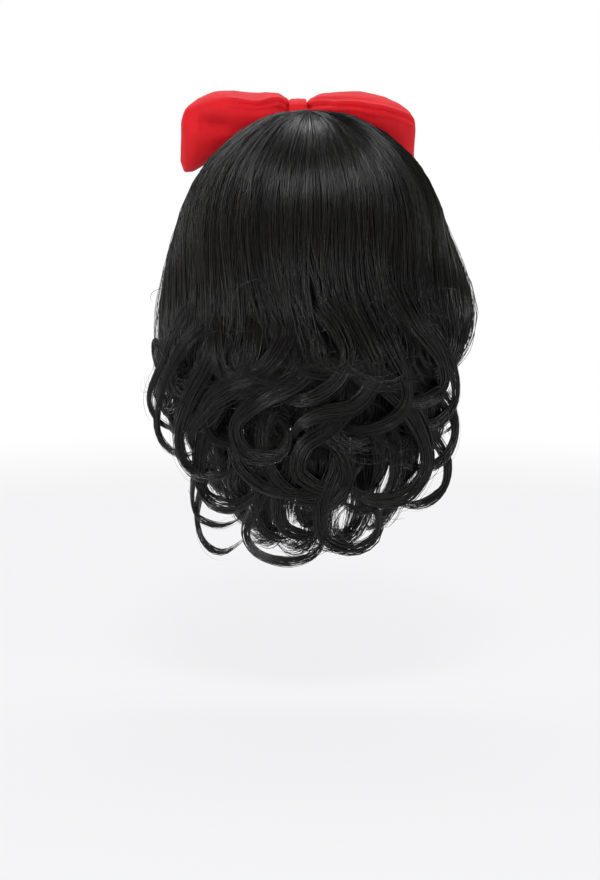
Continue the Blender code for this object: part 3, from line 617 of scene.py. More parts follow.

# The shaped curls on the back. Half their width is in millimetres. Their lines
# were read off the photograph: pixels across and down, millimetres out.
backCurls = [
    {"piece": "crown_hair_10", "wide": 4.0, "strands": 40, "line": [
        (186, 300, -5), (172, 330, 0), (160, 365, 2), (150, 395, 3), (153, 417, 1), (168, 430, -2),
        (184, 430, -6)]},
    {"piece": "crown_hair_10", "wide": 5.0, "strands": 50, "line": [
        (200, 320, -5), (182, 345, 1), (164, 385, 3), (157, 425, 3), (166, 448, 2), (183, 456, -1),
        (197, 447, -6)]},
    {"piece": "crown_hair_09", "wide": 7.0, "strands": 70, "line": [
        (215, 330, -4), (203, 370, 2), (186, 410, 5), (181, 442, 5), (192, 468, 5), (216, 478, 3),
        (238, 466, 0), (238, 447, -6)]},
    {"piece": "under_hair_08", "wide": 7.0, "strands": 70, "line": [
        (222, 385, -5), (205, 425, 1), (199, 470, 3), (210, 498, 5), (236, 507, 4), (257, 490, 1),
        (256, 465, -5)]},
    {"piece": "nape_hair_5", "wide": 3.2, "strands": 34, "line": [
        (212, 425, -4), (198, 455, 0), (193, 490, 3), (199, 518, 4), (222, 528, 3), (242, 518, -3)]},
    {"piece": "nape_hair_6", "wide": 3.4, "strands": 36, "line": [
        (215, 450, -5), (202, 480, 0), (196, 515, 2), (205, 545, 4), (224, 556, 3), (243, 540, -3)]},
    {"piece": "nape_hair_4", "wide": 4.2, "strands": 46, "line": [
        (275, 470, -5), (260, 500, 1), (246, 533, 3), (258, 555, 5), (286, 564, 6), (310, 559, 5),
        (322, 545, 2), (313, 528, -4)]},
    {"piece": "nape_hair_4", "wide": 3.6, "strands": 40, "line": [
        (262, 450, -4), (253, 490, 1), (260, 525, 4), (280, 541, 4), (302, 535, -2)]},
    {"piece": "nape_hair_2", "wide": 5.6, "strands": 64, "line": [
        (345, 440, -5), (335, 470, 1), (321, 508, 4), (325, 540, 5), (350, 551, 5), (374, 540, 3),
        (378, 515, 1), (360, 498, -1), (340, 505, -6)]},
    {"piece": "under_hair_04", "wide": 7.5, "strands": 80, "line": [
        (375, 370, -5), (400, 395, 1), (419, 430, 4), (424, 465, 5), (405, 495, 5), (375, 502, 3),
        (350, 490, 0), (345, 465, -6)]},
    {"piece": "crown_hair_03", "wide": 6.5, "strands": 70, "line": [
        (425, 320, -4), (442, 350, 1), (453, 380, 3), (450, 408, 3), (430, 426, 2), (400, 422, -5)]},
    {"piece": "under_hair_03", "wide": 6.0, "strands": 60, "line": [
        (418, 365, -5), (438, 390, 0), (454, 418, 2), (450, 448, 3), (430, 468, 2), (396, 466, -5)]},
    {"piece": "under_hair_03", "wide": 5.5, "strands": 54, "line": [
        (410, 400, -5), (430, 430, 0), (447, 460, 2), (442, 490, 3), (418, 507, 1), (386, 500, -5)]},
    {"piece": "crown_hair_03", "wide": 2.0, "strands": 16, "line": [
        (432, 395, -3), (448, 412, 1), (453, 424, 2), (444, 436, -2)]},
    {"piece": "crown_hair_07", "wide": 7.0, "strands": 80, "line": [
        (312, 340, -3), (300, 375, 3), (263, 398, 6), (238, 424, 6), (250, 454, 6), (279, 455, 5),
        (288, 432, 2), (270, 416, -5)]},
    {"piece": "crown_hair_06", "wide": 7.0, "strands": 74, "line": [
        (312, 300, -3), (334, 325, 2), (345, 355, 5), (331, 384, 6), (300, 400, 5), (270, 396, -5)]},
    {"piece": "crown_hair_05", "wide": 7.0, "strands": 74, "line": [
        (340, 300, -4), (360, 335, 2), (373, 371, 5), (352, 404, 6), (319, 413, 5), (295, 430, 3),
        (300, 459, -5)]},
    {"piece": "under_hair_06", "wide": 6.5, "strands": 64, "line": [
        (352, 375, -5), (348, 402, 1), (329, 428, 4), (305, 446, 5), (300, 474, 5), (329, 489, 3),
        (353, 470, -5)]},
    {"piece": "under_hair_07", "wide": 5.0, "strands": 50, "line": [
        (225, 440, -5), (242, 470, 1), (271, 490, 4), (311, 493, 4), (350, 478, 0), (372, 462, -6)]},
    {"piece": "crown_hair_04", "wide": 7.0, "strands": 70, "line": [
        (368, 300, -4), (388, 345, 2), (404, 383, 4), (396, 414, 5), (364, 430, 4), (335, 425, -5)]},
    {"piece": "crown_hair_09", "wide": 6.0, "strands": 60, "line": [
        (206, 310, -4), (217, 350, 2), (226, 385, 4), (214, 415, 4), (194, 430, 3), (175, 420, -5)]},
    {"piece": "crown_hair_08", "wide": 7.0, "strands": 74, "line": [
        (256, 310, -4), (253, 350, 2), (240, 384, 5), (212, 405, 5), (191, 438, 4), (201, 466, -5)]},
    {"piece": "crown_hair_04", "wide": 7.5, "strands": 80, "line": [
        (395, 280, -3), (414, 320, 2), (436, 355, 5), (437, 385, 6), (414, 401, 5), (384, 394, -4)]},
    {"piece": "crown_hair_08", "wide": 6.5, "strands": 70, "line": [
        (284, 310, -4), (281, 340, 2), (262, 370, 5), (226, 385, 6), (205, 411, 5), (216, 441, 4),
        (242, 446, -5)]},
    {"piece": "under_hair_05", "wide": 6.5, "strands": 64, "line": [
        (305, 400, -5), (320, 428, 0), (341, 452, 3), (345, 484, 4), (321, 509, 3), (290, 505, -5)]},
    {"piece": "nape_hair_3", "wide": 6.0, "strands": 70, "line": [
        (300, 440, -6), (290, 475, -2), (278, 505, 1), (285, 530, 2), (310, 538, 0), (332, 520, -5)]},
    {"piece": "under_hair_06", "wide": 6.0, "strands": 60, "line": [
        (270, 400, -6), (262, 440, 0), (274, 478, 3), (302, 500, 4), (332, 498, 0), (350, 480, -6)]},
    {"piece": "nape_hair_1", "wide": 5.0, "strands": 54, "line": [
        (400, 440, -6), (398, 470, -1), (386, 497, 2), (360, 513, 2), (335, 500, -5)]},
    {"piece": "nape_hair_3", "wide": 7.0, "strands": 56, "line": [
        (272, 440, -8), (268, 475, -5), (260, 505, -3), (266, 528, -2), (290, 534, -5)]},
    {"piece": "nape_hair_4", "wide": 7.0, "strands": 56, "line": [
        (300, 440, -8), (306, 480, -5), (300, 510, -3), (306, 528, -3), (322, 522, -7)]},
    {"piece": "under_hair_03", "wide": 7.0, "strands": 50, "line": [
        (398, 340, -8), (414, 380, -5), (424, 420, -4), (419, 452, -4), (400, 470, -8)]},
    {"piece": "under_hair_02", "wide": 6.0, "strands": 44, "line": [
        (420, 330, -8), (436, 370, -5), (441, 410, -4), (434, 438, -4), (414, 448, -8)]},
    {"piece": "nape_hair_5", "wide": 6.0, "strands": 44, "line": [
        (240, 430, -8), (232, 460, -5), (228, 485, -3), (240, 500, -4), (256, 498, -7)]},
    {"piece": "crown_hair_03", "wide": 7.0, "strands": 46, "line": [
        (408, 340, -8), (426, 372, -5), (437, 402, -4), (436, 430, -4), (424, 452, -8)]},
    {"piece": "nape_hair_3", "wide": 6.0, "strands": 40, "line": [
        (318, 440, -8), (318, 475, -5), (312, 502, -3), (300, 520, -3), (288, 528, -6)]},
    {"piece": "nape_hair_2", "wide": 5.0, "strands": 34, "line": [
        (352, 440, -8), (352, 470, -5), (346, 498, -4), (336, 512, -5), (326, 516, -7)]},
    {"piece": "crown_hair_03", "wide": 7.0, "strands": 44, "line": [
        (425, 345, -8), (439, 375, -5), (446, 405, -4), (446, 435, -4), (434, 462, -8)]},
    {"piece": "under_hair_03", "wide": 6.0, "strands": 40, "line": [
        (392, 400, -8), (399, 440, -5), (398, 475, -4), (386, 500, -7)]},
    {"piece": "under_hair_02", "wide": 6.0, "strands": 40, "line": [
        (414, 410, -8), (422, 440, -5), (420, 468, -4), (408, 492, -7)]},
    {"piece": "nape_hair_3", "wide": 5.5, "strands": 36, "line": [
        (292, 440, -8), (293, 475, -5), (292, 505, -3), (290, 526, -5)]},
    {"piece": "nape_hair_1", "wide": 5.0, "strands": 28, "line": [
        (380, 400, -8), (383, 440, -5), (383, 470, -4), (374, 496, -7)]},
    {"piece": "nape_hair_3", "wide": 4.0, "strands": 24, "line": [
        (287, 440, -8), (288, 475, -5), (287, 505, -3), (286, 526, -5)]},
]


# The sides carry two tiers of looser curls, alike but for their own luck.
sideLook = {
    "bearings": [54.0, 70.0, 86.0, 101.0],
    "tiers": [
        {"start": 0.208, "fall": 0.052, "depth": -0.006},
        {"start": 0.224, "fall": 0.062, "depth": -0.010},
    ],
    "radius": 0.0110, "wide": 6.0, "strands": 42, "seed": 60,
}


def makeRinglets():
    luck = np.random.default_rng(sideLook["seed"])
    locks = len(underLocks)
    reach = underLook["reach"]
    rows = []
    for side in (-1, 1):
        for bearing in sideLook["bearings"]:
            for tier in sideLook["tiers"]:
                middle = side * (bearing + luck.uniform(-4.0, 4.0))
                lock = int(np.clip((middle + reach) * locks / (2 * reach), 0, locks - 1)) + 1
                rows.append({
                    "piece": f"under_hair_{lock:02d}", "bearing": middle,
                    "hand": float(luck.choice([-1, 1])),
                    "start": tier["start"] + luck.uniform(-0.006, 0.006),
                    "depth": tier["depth"] - (0.005 if side < 0 else 0.001),
                    "fall": tier["fall"] * luck.uniform(0.85, 1.15), "winds": luck.uniform(1.05, 1.4),
                    "from": luck.uniform(-0.6, 0.6), "radius": sideLook["radius"] * luck.uniform(0.8, 1.2),
                    "wide": sideLook["wide"] * luck.uniform(0.85, 1.15), "strands": sideLook["strands"],
                })
    return rows


ringlets = makeRinglets()


# single hairs that have come loose over the curls; places and sizes in millimetres
looseLook = {
    "hairs": 120, "drops": [140.0, 310.0], "halfWidths": [102.0, 78.0], "radii": (7.0, 20.0),
    "sweeps": (1.4, 3.4), "thickness": 0.00020, "seed": 90,
}


def makeLooseHairs():
    luck = np.random.default_rng(looseLook["seed"])
    share = np.linspace(0.0, 1.0, strandSteps)
    rows = []
    for _ in range(looseLook["hairs"]):
        drop = luck.uniform(*looseLook["drops"])
        halfWidth = np.interp(drop, looseLook["drops"], looseLook["halfWidths"])
        left = 2.0 + luck.uniform(-1.0, 1.0) * halfWidth
        begin = luck.uniform(0, 2 * math.pi)
        turn = begin + luck.choice([-1, 1]) * luck.uniform(*looseLook["sweeps"]) * share
        grow = luck.uniform(*looseLook["radii"]) * (1.0 + 0.4 * share)
        out = luck.uniform(0.5, 4.0) + 2.5 * np.sin(math.pi * share)
        arc = [left + grow * np.cos(turn), drop + 0.8 * grow * np.sin(turn), out]
        path, _ = onBack(np.stack(arc, axis=-1))
        lock = round(np.interp(left, [-105, 105], [3, 10]))
        rows.append({"piece": f"crown_hair_{lock:02d}", "path": path})
    return rows


looseHairs = makeLooseHairs()


swayRun = 0.06       # metres of hair that the sway takes


def stretchesOf(row):
    hook = math.radians(abs(row["turn"])) * row["curl"]
    toward = row["tilt"] if row["turn"] > 0 else 180.0 - row["tilt"]
    sway = row.get("sway", 0)
    path = [{"run": row["fall"], "turn": 0.0, "toward": 0.0}]
    if sway:
        path[0]["run"] = row["fall"] - swayRun
        path.append({"run": swayRun, "turn": abs(sway) * 1.6, "toward": 0.0 if sway > 0 else 180.0})
    turn = abs(row["turn"]) + abs(sway)
    path.append({"run": hook, "turn": turn, "toward": toward, "lift": row.get("lift", 0.0)})
    return path


hairPieces = []


def curlsOf(name):
    # the paths and radii of every curl and loose hair that a piece carries
    for i, row in enumerate(backCurls):
        if row["piece"] == name:
            middle, facing = onBack(smoothLine(fromPhoto(row["line"]), fineSteps))
            yield curlStrands(row, middle, facing, 500 + i)
    for i, row in enumerate(ringlets):
        if row["piece"] == name:
            yield curlStrands(row, *ringletLine(row), 700 + i)
    thin = looseLook["thickness"] * np.sin(math.pi * np.linspace(0.06, 0.97, strandSteps)) ** 0.5
    for row in looseHairs:
        if row["piece"] == name:
            yield row["path"][None], thin[None]


def addHairPiece(name, node, lock):
    runs = [part["run"] for part in lock["stretches"]]
    lock["curlAt"] = lock.get("curlShare", 1.0) * sum(runs[:-1]) / sum(runs)
    paths, radii, core = lockStrands(lock)
    curls = list(curlsOf(name))
    paths = np.concatenate([paths] + [curl[0] for curl in curls])
    radii = np.concatenate([radii] + [curl[1] for curl in curls])
    piece = strandMesh(name, paths, radii, core)
    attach(piece, "root")
    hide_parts(node)
    hairPieces.append(piece)


def addCrownLocks():
    room = 2 * crownLook["reach"] / len(crownLocks)
    for i, row in enumerate(crownLocks):
        addHairPiece(f"crown_hair_{i + 1:02d}", f"crown_lock_{i + 1:02d}", {
            "bearing": -crownLook["reach"] + room * (i + 0.5),
            "room": math.radians(room / 2) * form["turnRadius"] * 1.06,
            "start": crownLook["start"], "depth": 0.0010, "stretches": stretchesOf(row),
            "gather": 0.6, "curlWidth": 0.0095, "curlThick": 0.0045,
            "strands": crownLook["strands"], "rootSpread": 0.20, "tresses": 11, "seed": 100 + i,
        })


def addUnderLocks():
    room = 2 * underLook["reach"] / len(underLocks)
    middle = (len(underLocks) - 1) / 2
    for i, row in enumerate(underLocks):
        beyond = underLook["coreBeyond"] * (1.0 - abs(i - middle) / middle)
        addHairPiece(f"under_hair_{i + 1:02d}", f"under_lock_{i + 1:02d}", {
            "bearing": -underLook["reach"] + room * (i + 0.5),
            "room": math.radians(room / 2) * form["turnRadius"],
            "start": underLook["start"], "depth": underLook["depth"],
            "coreTo": underLook["start"] + row["fall"] + beyond,
            "coreSpread": 1.16, "coreSink": 0.0030 + 0.0016 * (i % 2), "stretches": stretchesOf(row),
            "gather": 0.65, "curlWidth": 0.0095, "curlThick": 0.0045,
            "strands": underLook["strands"], "tresses": 8, "seed": 200 + i,
        })


def addNapeLocks():
    room = (napeLook["last"] - napeLook["first"]) / len(napeLocks)
    for i, row in enumerate(napeLocks):
        addHairPiece(f"nape_hair_{i + 1}", f"nape_lock_{i + 1}", {
            "bearing": napeLook["first"] + room * (i + 0.5),
            "room": math.radians(room / 2) * form["turnRadius"] * 0.9,
            "start": napeLook["start"], "depth": napeLook["depth"],
            "coreTo": napeLook["coreTo"] - 0.010 * (i % 2) - napeLook["endsShorter"] * (i in (0, 5)),
            "coreSpread": 1.0, "coreSink": 0.0030 + 0.0012 * (i % 2), "stretches": stretchesOf(row),
            "gather": 0.55, "curlWidth": 0.0065, "curlThick": 0.0040, "curlShare": 0.7,
            "strands": napeLook["strands"], "tresses": 7, "seed": 300 + i, "looseness": 0.06,
            "pinch": 0.95, "tipSpread": 0.08,
        })


addCrownLocks()
addUnderLocks()
addNapeLocks()
print("hair made:", sum(len(piece.data.polygons) * 2 for piece in hairPieces), "triangles")

bowLook = {
    "voxel": 0.0048, "shrink": 0.0016, "pressure": 4.0, "mostMoved": 0.0055, "frames": 20,
    "spareCloth": 0.035,        # share of cloth more than the form needs, which puckers it
    "heldTo": 0.006, "heldFade": 0.016,     # held this far from the middle line
    "slices": 33,               # across a loop, that its heights and seam are read from
    # folds of so many to a turn with so much share, sweeping round away from the knot
    "folds": ((5, 0.5), (9, 0.35), (14, 0.15)), "foldSweep": 25.0,
    "foldDepth": 0.0024, "foldRun": 0.058, "seamDepth": 0.0017, "seamWidth": 0.0011,
    "seamFade": 0.015, "seamPull": 0.85,
    "ridgeShare": 0.6, "ridgeAt": 3.0, "ridgeWidth": 1.5,       # the last two in seam widths
    "middle": 0.009,            # the bow's middle line, metres to +X
    "shoulder": 0.0045,         # metres that the tops stand up beside the knot
    # a seam runs where seamAt, as (y, z), points furthest, for seamRun metres; a dent
    # is (x, z, depth); lift is metres that the outer top corner stands up
    "left": {"seamAt": (0.80, 0.60), "seamRun": 0.046, "dent": (0.072, -0.003, 0.0058), "lift": 0.0060},
    "right": {"seamAt": (0.90, 0.43), "seamRun": 0.200, "dent": (-0.045, -0.010, 0.0016), "lift": 0.0010},
    "dentWide": 0.017, "dentHigh": 0.0080, "dentLean": 0.25,
    "creaseDepth": 0.00055, "creaseRate": 55.0, "creases": 4,
}


def pieceFromNode(name, node):
    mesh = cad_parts[node].data.copy()
    mesh.name = name
    mesh.materials.clear()
    thing = bpy.data.objects.new(name, mesh)
    scene.collection.objects.link(thing)
    return thing


def readPoints(mesh):
    points = np.empty(len(mesh.vertices) * 3)
    mesh.vertices.foreach_get("co", points)
    return points.reshape(-1, 3)


def readNormals(mesh):
    normals = np.empty(len(mesh.vertices) * 3)
    mesh.vertices.foreach_get("normal", normals)
    return normals.reshape(-1, 3)


def writePoints(mesh, points):
    mesh.vertices.foreach_set("co", points.astype(np.float32).ravel())
    mesh.update()


def bakeModifiers(thing):
    evaluated = thing.evaluated_get(bpy.context.evaluated_depsgraph_get())
    mesh = bpy.data.meshes.new_from_object(evaluated)
    thing.modifiers.clear()
    thing.data = mesh


def remesh(thing, voxel):
    modifier = thing.modifiers.new("Remesh", "REMESH")
    modifier.mode = "VOXEL"
    modifier.voxel_size = voxel
    bakeModifiers(thing)


def subdivide(thing, levels):
    modifier = thing.modifiers.new("Subdivision", "SUBSURF")
    modifier.levels = levels
    modifier.render_levels = levels
    bakeModifiers(thing)


def puff(thing, heldWeight):
    rest = readPoints(thing.data)
    group = thing.vertex_groups.new(name="held")
    for i, weight in enumerate(heldWeight):
        group.add([i], float(weight), "REPLACE")
    modifier = thing.modifiers.new("Cloth", "CLOTH")
    settings = modifier.settings
    settings.use_pressure = True
    settings.uniform_pressure_force = bowLook["pressure"]
    settings.vertex_group_mass = "held"
    settings.shrink_min = -bowLook["spareCloth"]
    settings.effector_weights.gravity = 0.0
    modifier.collision_settings.use_collision = False
    modifier.point_cache.frame_start = 1
    modifier.point_cache.frame_end = bowLook["frames"]
    for moment in range(1, bowLook["frames"] + 1):
        scene.frame_set(moment)
    bakeModifiers(thing)
    scene.frame_set(1)
    moved = readPoints(thing.data) - rest
    far = np.linalg.norm(moved, axis=1, keepdims=True)
    writePoints(thing.data, rest + moved * np.minimum(1.0, bowLook["mostMoved"] / np.maximum(far, 1e-9)))
    thing.vertex_groups.clear()


def shoulderRise(points, look, fromKnot, edges):
    # the tops stand up beside the knot, and the outer top corner a little too
    slices = bowLook["slices"]
    rows = np.clip(np.digitize(points[:, 0], edges) - 1, 0, slices - 1)
    heights = np.array([points[rows == i, 2].mean() if (rows == i).any() else 0.0 for i in range(slices)])
    middleZ = np.interp(points[:, 0], (edges[:-1] + edges[1:]) / 2, heights)
    shoulder = smoothStep((fromKnot - 0.002) / 0.008) * (1.0 - smoothStep((fromKnot - 0.009) / 0.022))
    rise = bowLook["shoulder"] * shoulder + look["lift"] * smoothStep((fromKnot - 0.030) / 0.042)
    return rise * smoothStep((points[:, 2] - middleZ) / 0.016)


def foldsAndCreases(points, offset, fromKnot, luck):
    # folds that fan out from the knot and die away
    fan = np.arctan2(offset[:, 2], offset[:, 1] + 1e-6)
    folds = np.zeros(len(points))
    for count, share in bowLook["folds"]:
        folds += share * np.sin(fan * count + luck.uniform(0, 6.3) + bowLook["foldSweep"] * fromKnot)
    fading = 1.0 - smoothStep(fromKnot / bowLook["foldRun"])
    depth = bowLook["foldDepth"] * smoothStep(fromKnot / 0.010) * fading
    # wide soft creases over the rest
    drift = 0.0
    for _ in range(bowLook["creases"]):
        way = luck.normal(size=3) * bowLook["creaseRate"]
        drift = drift + np.sin(points @ way + luck.uniform(0, 6.3))
    return folds * depth + bowLook["creaseDepth"] * drift * smoothStep(fromKnot / 0.03)


def seamLine(points, look, edges):
    # the point furthest towards seamAt in each slice, eased into one line
    crest = points @ np.array([0.0, *look["seamAt"]])
    seam = []
    for low, high in zip(edges[:-1], edges[1:]):
        inside = np.flatnonzero((points[:, 0] >= low) & (points[:, 0] <= high))
        if len(inside):
            seam.append(points[inside[np.argmax(crest[inside])]])
    for _ in range(6):
        eased = np.array(seam)
        eased[1:-1] = (eased[:-2] + 2 * eased[1:-1] + eased[2:]) / 4
        seam = eased
    return smoothLine(seam, 120)


def drawToSeam(points, normals, seam, fade):
    near = np.full(len(points), 1.0)
    nearest = points.copy()
    for spot in seam[4:-4]:
        apart = np.linalg.norm(points - spot, axis=1)
        nearest[apart < near] = spot
        near = np.minimum(near, apart)
    # the cloth is drawn to the stitching, so that the seam stays a sharp line
    toSeam = nearest - points
    toSeam -= normals * (toSeam * normals).sum(axis=1, keepdims=True)
    widths = near / bowLook["seamWidth"]
    pull = bowLook["seamPull"] * fade * np.exp(-widths ** 2)
    # beside the seam the cloth stands up a little
    groove = fade * bowLook["seamDepth"] * np.exp(-widths ** 2)
    beside = (widths - bowLook["ridgeAt"]) / bowLook["ridgeWidth"]
    ridge = fade * bowLook["ridgeShare"] * bowLook["seamDepth"] * np.exp(-beside ** 2)
    return points + toSeam * pull[:, None], groove, ridge


def dentIn(points, normals, look):
    dentX, dentZ, dentDepth = look["dent"]
    lean = points[:, 2] - dentZ - bowLook["dentLean"] * (points[:, 0] - dentX)
    across = (points[:, 0] - dentX) / bowLook["dentWide"]
    dent = dentDepth * np.exp(-across ** 2 - (lean / bowLook["dentHigh"]) ** 2)
    return dent * np.clip(normals[:, 1], 0, 1)


def makeBowLoop(name, node, clothMaterial, look, seed):
    luck = np.random.default_rng(seed)
    loop = pieceFromNode(name, node)
    remesh(loop, bowLook["voxel"])
    mesh = loop.data
    writePoints(mesh, readPoints(mesh) - readNormals(mesh) * bowLook["shrink"])
    fromKnot = np.abs(readPoints(mesh)[:, 0] - bowLook["middle"])
    puff(loop, np.clip(1.0 - (fromKnot - bowLook["heldTo"]) / bowLook["heldFade"], 0.0, 1.0))
    subdivide(loop, 2)
    mesh = loop.data
    points = readPoints(mesh)
    offset = points - np.array([bowLook["middle"], points[:, 1].mean(), points[:, 2].mean()])
    fromKnot = np.abs(offset[:, 0])
    edges = np.linspace(points[:, 0].min(), points[:, 0].max(), bowLook["slices"] + 1)
    points[:, 2] += shoulderRise(points, look, fromKnot, edges)
    writePoints(mesh, points)
    normals = readNormals(mesh)
    folds = foldsAndCreases(points, offset, fromKnot, luck)
    fade = 1.0 - smoothStep((fromKnot - look["seamRun"]) / bowLook["seamFade"])
    points, groove, ridge = drawToSeam(points, normals, seamLine(points, look, edges), fade)
    dent = dentIn(points, normals, look)
    writePoints(mesh, points + normals * (folds - groove + ridge - dent)[:, None])
    mesh.shade_smooth()
    mesh.materials.clear()
    mesh.materials.append(clothMaterial)
    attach(loop, "root")
    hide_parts(node)
    return loop


# the knot's soft pleats are so far apart and so deep, in metres
knotLook = {"voxel": 0.0011, "pleats": ((0.0046, 0.00011), (0.0021, 0.00005)), "shrink": 0.0003}


def makeBowKnot(clothMaterial):
    knot = pieceFromNode("bow_band", "bow_knot")
    remesh(knot, knotLook["voxel"])
    subdivide(knot, 1)
    mesh = knot.data
    points = readPoints(mesh)
    normals = readNormals(mesh)
    across = points[:, 0] - bowLook["middle"]
    around = np.arctan2(points[:, 2] - points[:, 2].mean(), points[:, 1] - points[:, 1].mean())
    (wide, wideDepth), (fine, fineDepth) = knotLook["pleats"]
    pleats = wideDepth * np.cos(across * 2 * math.pi / wide + 0.7 * np.sin(around * 2.0))
    pleats += fineDepth * np.sin(across * 2 * math.pi / fine + around * 3.0)
    writePoints(mesh, points + normals * (pleats - knotLook["shrink"])[:, None])
    mesh.shade_smooth()
    mesh.materials.clear()
    mesh.materials.append(clothMaterial)
    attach(knot, "root")
    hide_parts("bow_knot")
    return knot


def makeFineWeave():
    # crossing threads at a given size, as a height, with slow uneven patches as a mask
    group = bpy.data.node_groups.new("fineWeave", "ShaderNodeTree")
    threads = group.interface.new_socket("Threads", in_out="INPUT", socket_type="NodeSocketFloat")
    threads.default_value = 900.0
    group.interface.new_socket("Height", in_out="OUTPUT", socket_type="NodeSocketFloat")
    group.interface.new_socket("Patches", in_out="OUTPUT", socket_type="NodeSocketFloat")
    nodes, links = group.nodes, group.links
    takes = nodes.new("NodeGroupInput")
    gives = nodes.new("NodeGroupOutput")
    place = nodes.new("ShaderNodeTexCoord")
    height = nodes.new("ShaderNodeMath")
    height.operation = "ADD"
    for i, direction in enumerate(("X", "Z")):
        wave = nodes.new("ShaderNodeTexWave")
        wave.bands_direction = direction
        wave.inputs["Distortion"].default_value = 0.6
        wave.inputs["Detail"].default_value = 1.0
        links.new(place.outputs["Object"], wave.inputs["Vector"])
        links.new(takes.outputs["Threads"], wave.inputs["Scale"])
        links.new(wave.outputs["Fac"], height.inputs[i])
    noise = nodes.new("ShaderNodeTexNoise")
    noise.inputs["Scale"].default_value = 60.0
    noise.inputs["Detail"].default_value = 3.0
    links.new(place.outputs["Object"], noise.inputs["Vector"])
    links.new(height.outputs["Value"], gives.inputs["Height"])
    links.new(noise.outputs["Fac"], gives.inputs["Patches"])
    return group


fineWeave = makeFineWeave()
clothLook = {
    "dark": (0.46, 0.004, 0.009), "light": (0.66, 0.006, 0.013),
    "roughness": 0.58, "specular": 0.14, "threads": 350.0, "height": 0.25,
}
netLook = {
    "dark": (0.004, 0.004, 0.004), "light": (0.014, 0.013, 0.013),
    "roughness": 0.80, "specular": 0.2, "threads": 160.0, "height": 0.9,
}


def makeWeaveMaterial(name, look):
    material, nodes, links, shader = newMaterial(name, look["roughness"], specular=look["specular"])
    weave = nodes.new("ShaderNodeGroup")
    weave.node_tree = fineWeave
    weave.inputs["Threads"].default_value = look["threads"]
    tones = mixTones(nodes, links, weave.outputs["Patches"], look["dark"], look["light"])
    links.new(tones, shader.inputs["Base Color"])
    bump = nodes.new("ShaderNodeBump")
    bump.inputs["Strength"].default_value = look["height"]
    bump.inputs["Distance"].default_value = 0.0004
    links.new(weave.outputs["Height"], bump.inputs["Height"])
    links.new(bump.outputs["Normal"], shader.inputs["Normal"])
    return material, shader


redCloth, redShader = makeWeaveMaterial("redCloth", clothLook)
redShader.inputs["Sheen Weight"].default_value = 0.02
redShader.inputs["Sheen Roughness"].default_value = 0.4
capNet, _ = makeWeaveMaterial("capNet", netLook)

bowPieces = [
    makeBowLoop("bow_left", "bow_loop_left", redCloth, bowLook["left"], 41),
    makeBowLoop("bow_right", "bow_loop_right", redCloth, bowLook["right"], 42),
    makeBowKnot(redCloth),
]
print("bow made:", sum(len(piece.data.polygons) * 2 for piece in bowPieces), "triangles")


clipLook = {
    "dark": (0.012, 0.012, 0.013), "light": (0.035, 0.034, 0.034),
    "grain": 220.0, "glossiest": 0.22, "roughest": 0.45,
}


def makeClipLacquer():
    # black lacquer, a little rubbed
    material, nodes, links, shader = newMaterial("clipLacquer", clipLook["roughest"])
    place = nodes.new("ShaderNodeTexCoord")
    noise = nodes.new("ShaderNodeTexNoise")
    noise.inputs["Scale"].default_value = clipLook["grain"]
    noise.inputs["Detail"].default_value = 4.0
    links.new(place.outputs["Object"], noise.inputs["Vector"])
    tones = mixTones(nodes, links, noise.outputs["Fac"], clipLook["dark"], clipLook["light"])
    links.new(tones, shader.inputs["Base Color"])
    rough = nodes.new("ShaderNodeMapRange")
    rough.inputs["To Min"].default_value = clipLook["glossiest"]
    rough.inputs["To Max"].default_value = clipLook["roughest"]
    links.new(noise.outputs["Fac"], rough.inputs["Value"])
    links.new(rough.outputs["Result"], shader.inputs["Roughness"])
    return material


def dressNode(node, material):
    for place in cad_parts[node].material_slots:
        place.material = material


dressNode("wig_cap", capNet)
dressNode("bow_clip", makeClipLacquer())
print("cap and clip dressed")

camera = bpy.data.cameras.new("camera")
camera.sensor_fit = "VERTICAL"
camera.sensor_height = 36.0
camera.lens = 90.0
cameraObject = bpy.data.objects.new("camera", camera)
scene.collection.objects.link(cameraObject)
cameraLook = {"target": (0.0075, 0.0, -0.241), "away": 1.703, "rise": 10.0}
rise = math.radians(cameraLook["rise"])
target = Vector(cameraLook["target"])
cameraObject.location = target + Vector((0.0, math.cos(rise), math.sin(rise))) * cameraLook["away"]
cameraObject.rotation_euler = (target - cameraObject.location).to_track_quat("-Z", "Y").to_euler()
scene.camera = cameraObject


def addSoftLight(name, place, aimZ, size, power):
    light = bpy.data.lights.new(name, "AREA")
    light.shape = "RECTANGLE"
    light.size, light.size_y = size
    light.energy = power
    thing = bpy.data.objects.new(name, light)
    scene.collection.objects.link(thing)
    thing.location = place
    aim = Vector((0.0, 0.0, aimZ))
    thing.rotation_euler = (aim - thing.location).to_track_quat("-Z", "Y").to_euler()


lights = {
    "crownLight": {"place": (-0.02, -0.85, 0.95), "aimZ": -0.02, "size": (2.40, 0.30), "power": 17.0},
    "overhead": {"place": (0.0, 0.55, 1.2), "aimZ": -0.1, "size": (0.50, 0.40), "power": 9.0},
    "leftSoftbox": {"place": (1.35, 1.25, 0.10), "aimZ": -0.18, "size": (0.35, 0.60), "power": 19.0},
    "rightSoftbox": {"place": (-1.5, 1.0, 0.30), "aimZ": -0.18, "size": (0.30, 0.60), "power": 12.0},
}
for lightName, lightLook in lights.items():
    addSoftLight(lightName, **lightLook)

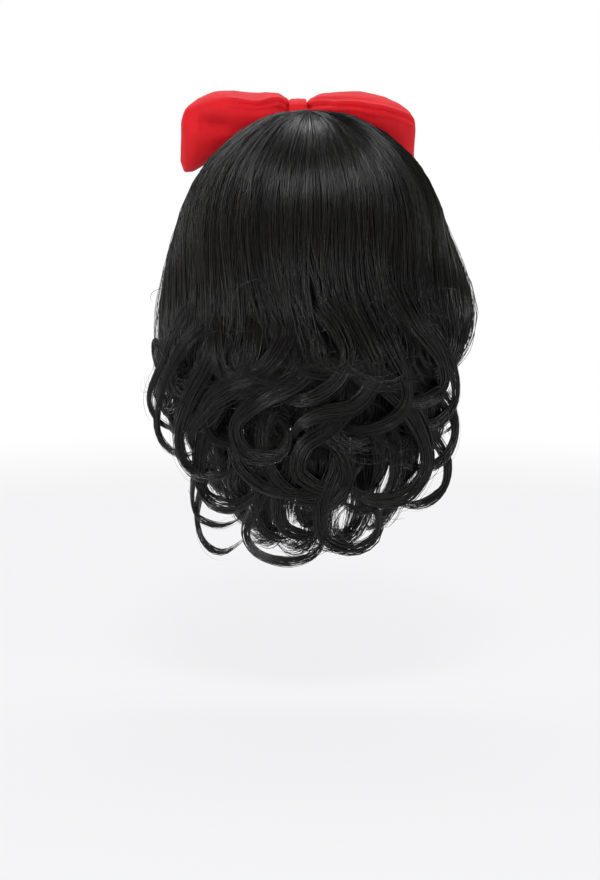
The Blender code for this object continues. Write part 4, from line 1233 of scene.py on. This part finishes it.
# the room lights the wig gently, and looks white behind it
world = bpy.data.worlds.new("studio")
world.use_nodes = True
worldNodes, worldLinks = world.node_tree.nodes, world.node_tree.links
seen = worldNodes.new("ShaderNodeLightPath")
power = worldNodes.new("ShaderNodeMapRange")
power.inputs["To Min"].default_value = 0.34
power.inputs["To Max"].default_value = 1.0
worldLinks.new(seen.outputs["Is Camera Ray"], power.inputs["Value"])
worldLinks.new(power.outputs["Result"], worldNodes["Background"].inputs["Strength"])
worldNodes["Background"].inputs["Color"].default_value = (1.0, 1.0, 1.0, 1.0)
scene.world = world
scene.view_settings.view_transform = "Standard"

floorMesh = bpy.data.meshes.new("floor")
floorMesh.from_pydata([(-9, -9, 0), (9, -9, 0), (9, 9, 0), (-9, 9, 0)], [], [(0, 1, 2, 3)])
floor = bpy.data.objects.new("floor", floorMesh)
floor.location.z = -0.415
scene.collection.objects.link(floor)
floorLook = {"tone": (0.15, 0.15, 0.152), "glow": (0.71, 0.71, 0.72), "fadesFrom": 0.60, "fadesTo": 1.15}


def makeFloorMaterial():
    # pale under the wig, fading to the white of the room with distance from it
    material, nodes, links, shader = newMaterial("paleFloor", 0.8, specular=0.1)
    place = nodes.new("ShaderNodeTexCoord")
    length = nodes.new("ShaderNodeVectorMath")
    length.operation = "LENGTH"
    links.new(place.outputs["Object"], length.inputs[0])
    fade = nodes.new("ShaderNodeMapRange")
    fade.interpolation_type = "SMOOTHSTEP"
    fade.inputs["From Min"].default_value = floorLook["fadesFrom"]
    fade.inputs["From Max"].default_value = floorLook["fadesTo"]
    links.new(length.outputs["Value"], fade.inputs["Value"])
    tones = mixTones(nodes, links, fade.outputs["Result"], floorLook["tone"], (0.0, 0.0, 0.0))
    links.new(tones, shader.inputs["Base Color"])
    glow = mixTones(nodes, links, fade.outputs["Result"], floorLook["glow"], (1.0, 1.0, 1.0))
    links.new(glow, shader.inputs["Emission Color"])
    shader.inputs["Emission Strength"].default_value = 1.0
    return material


floorMesh.materials.append(makeFloorMaterial())
print("stage ready")
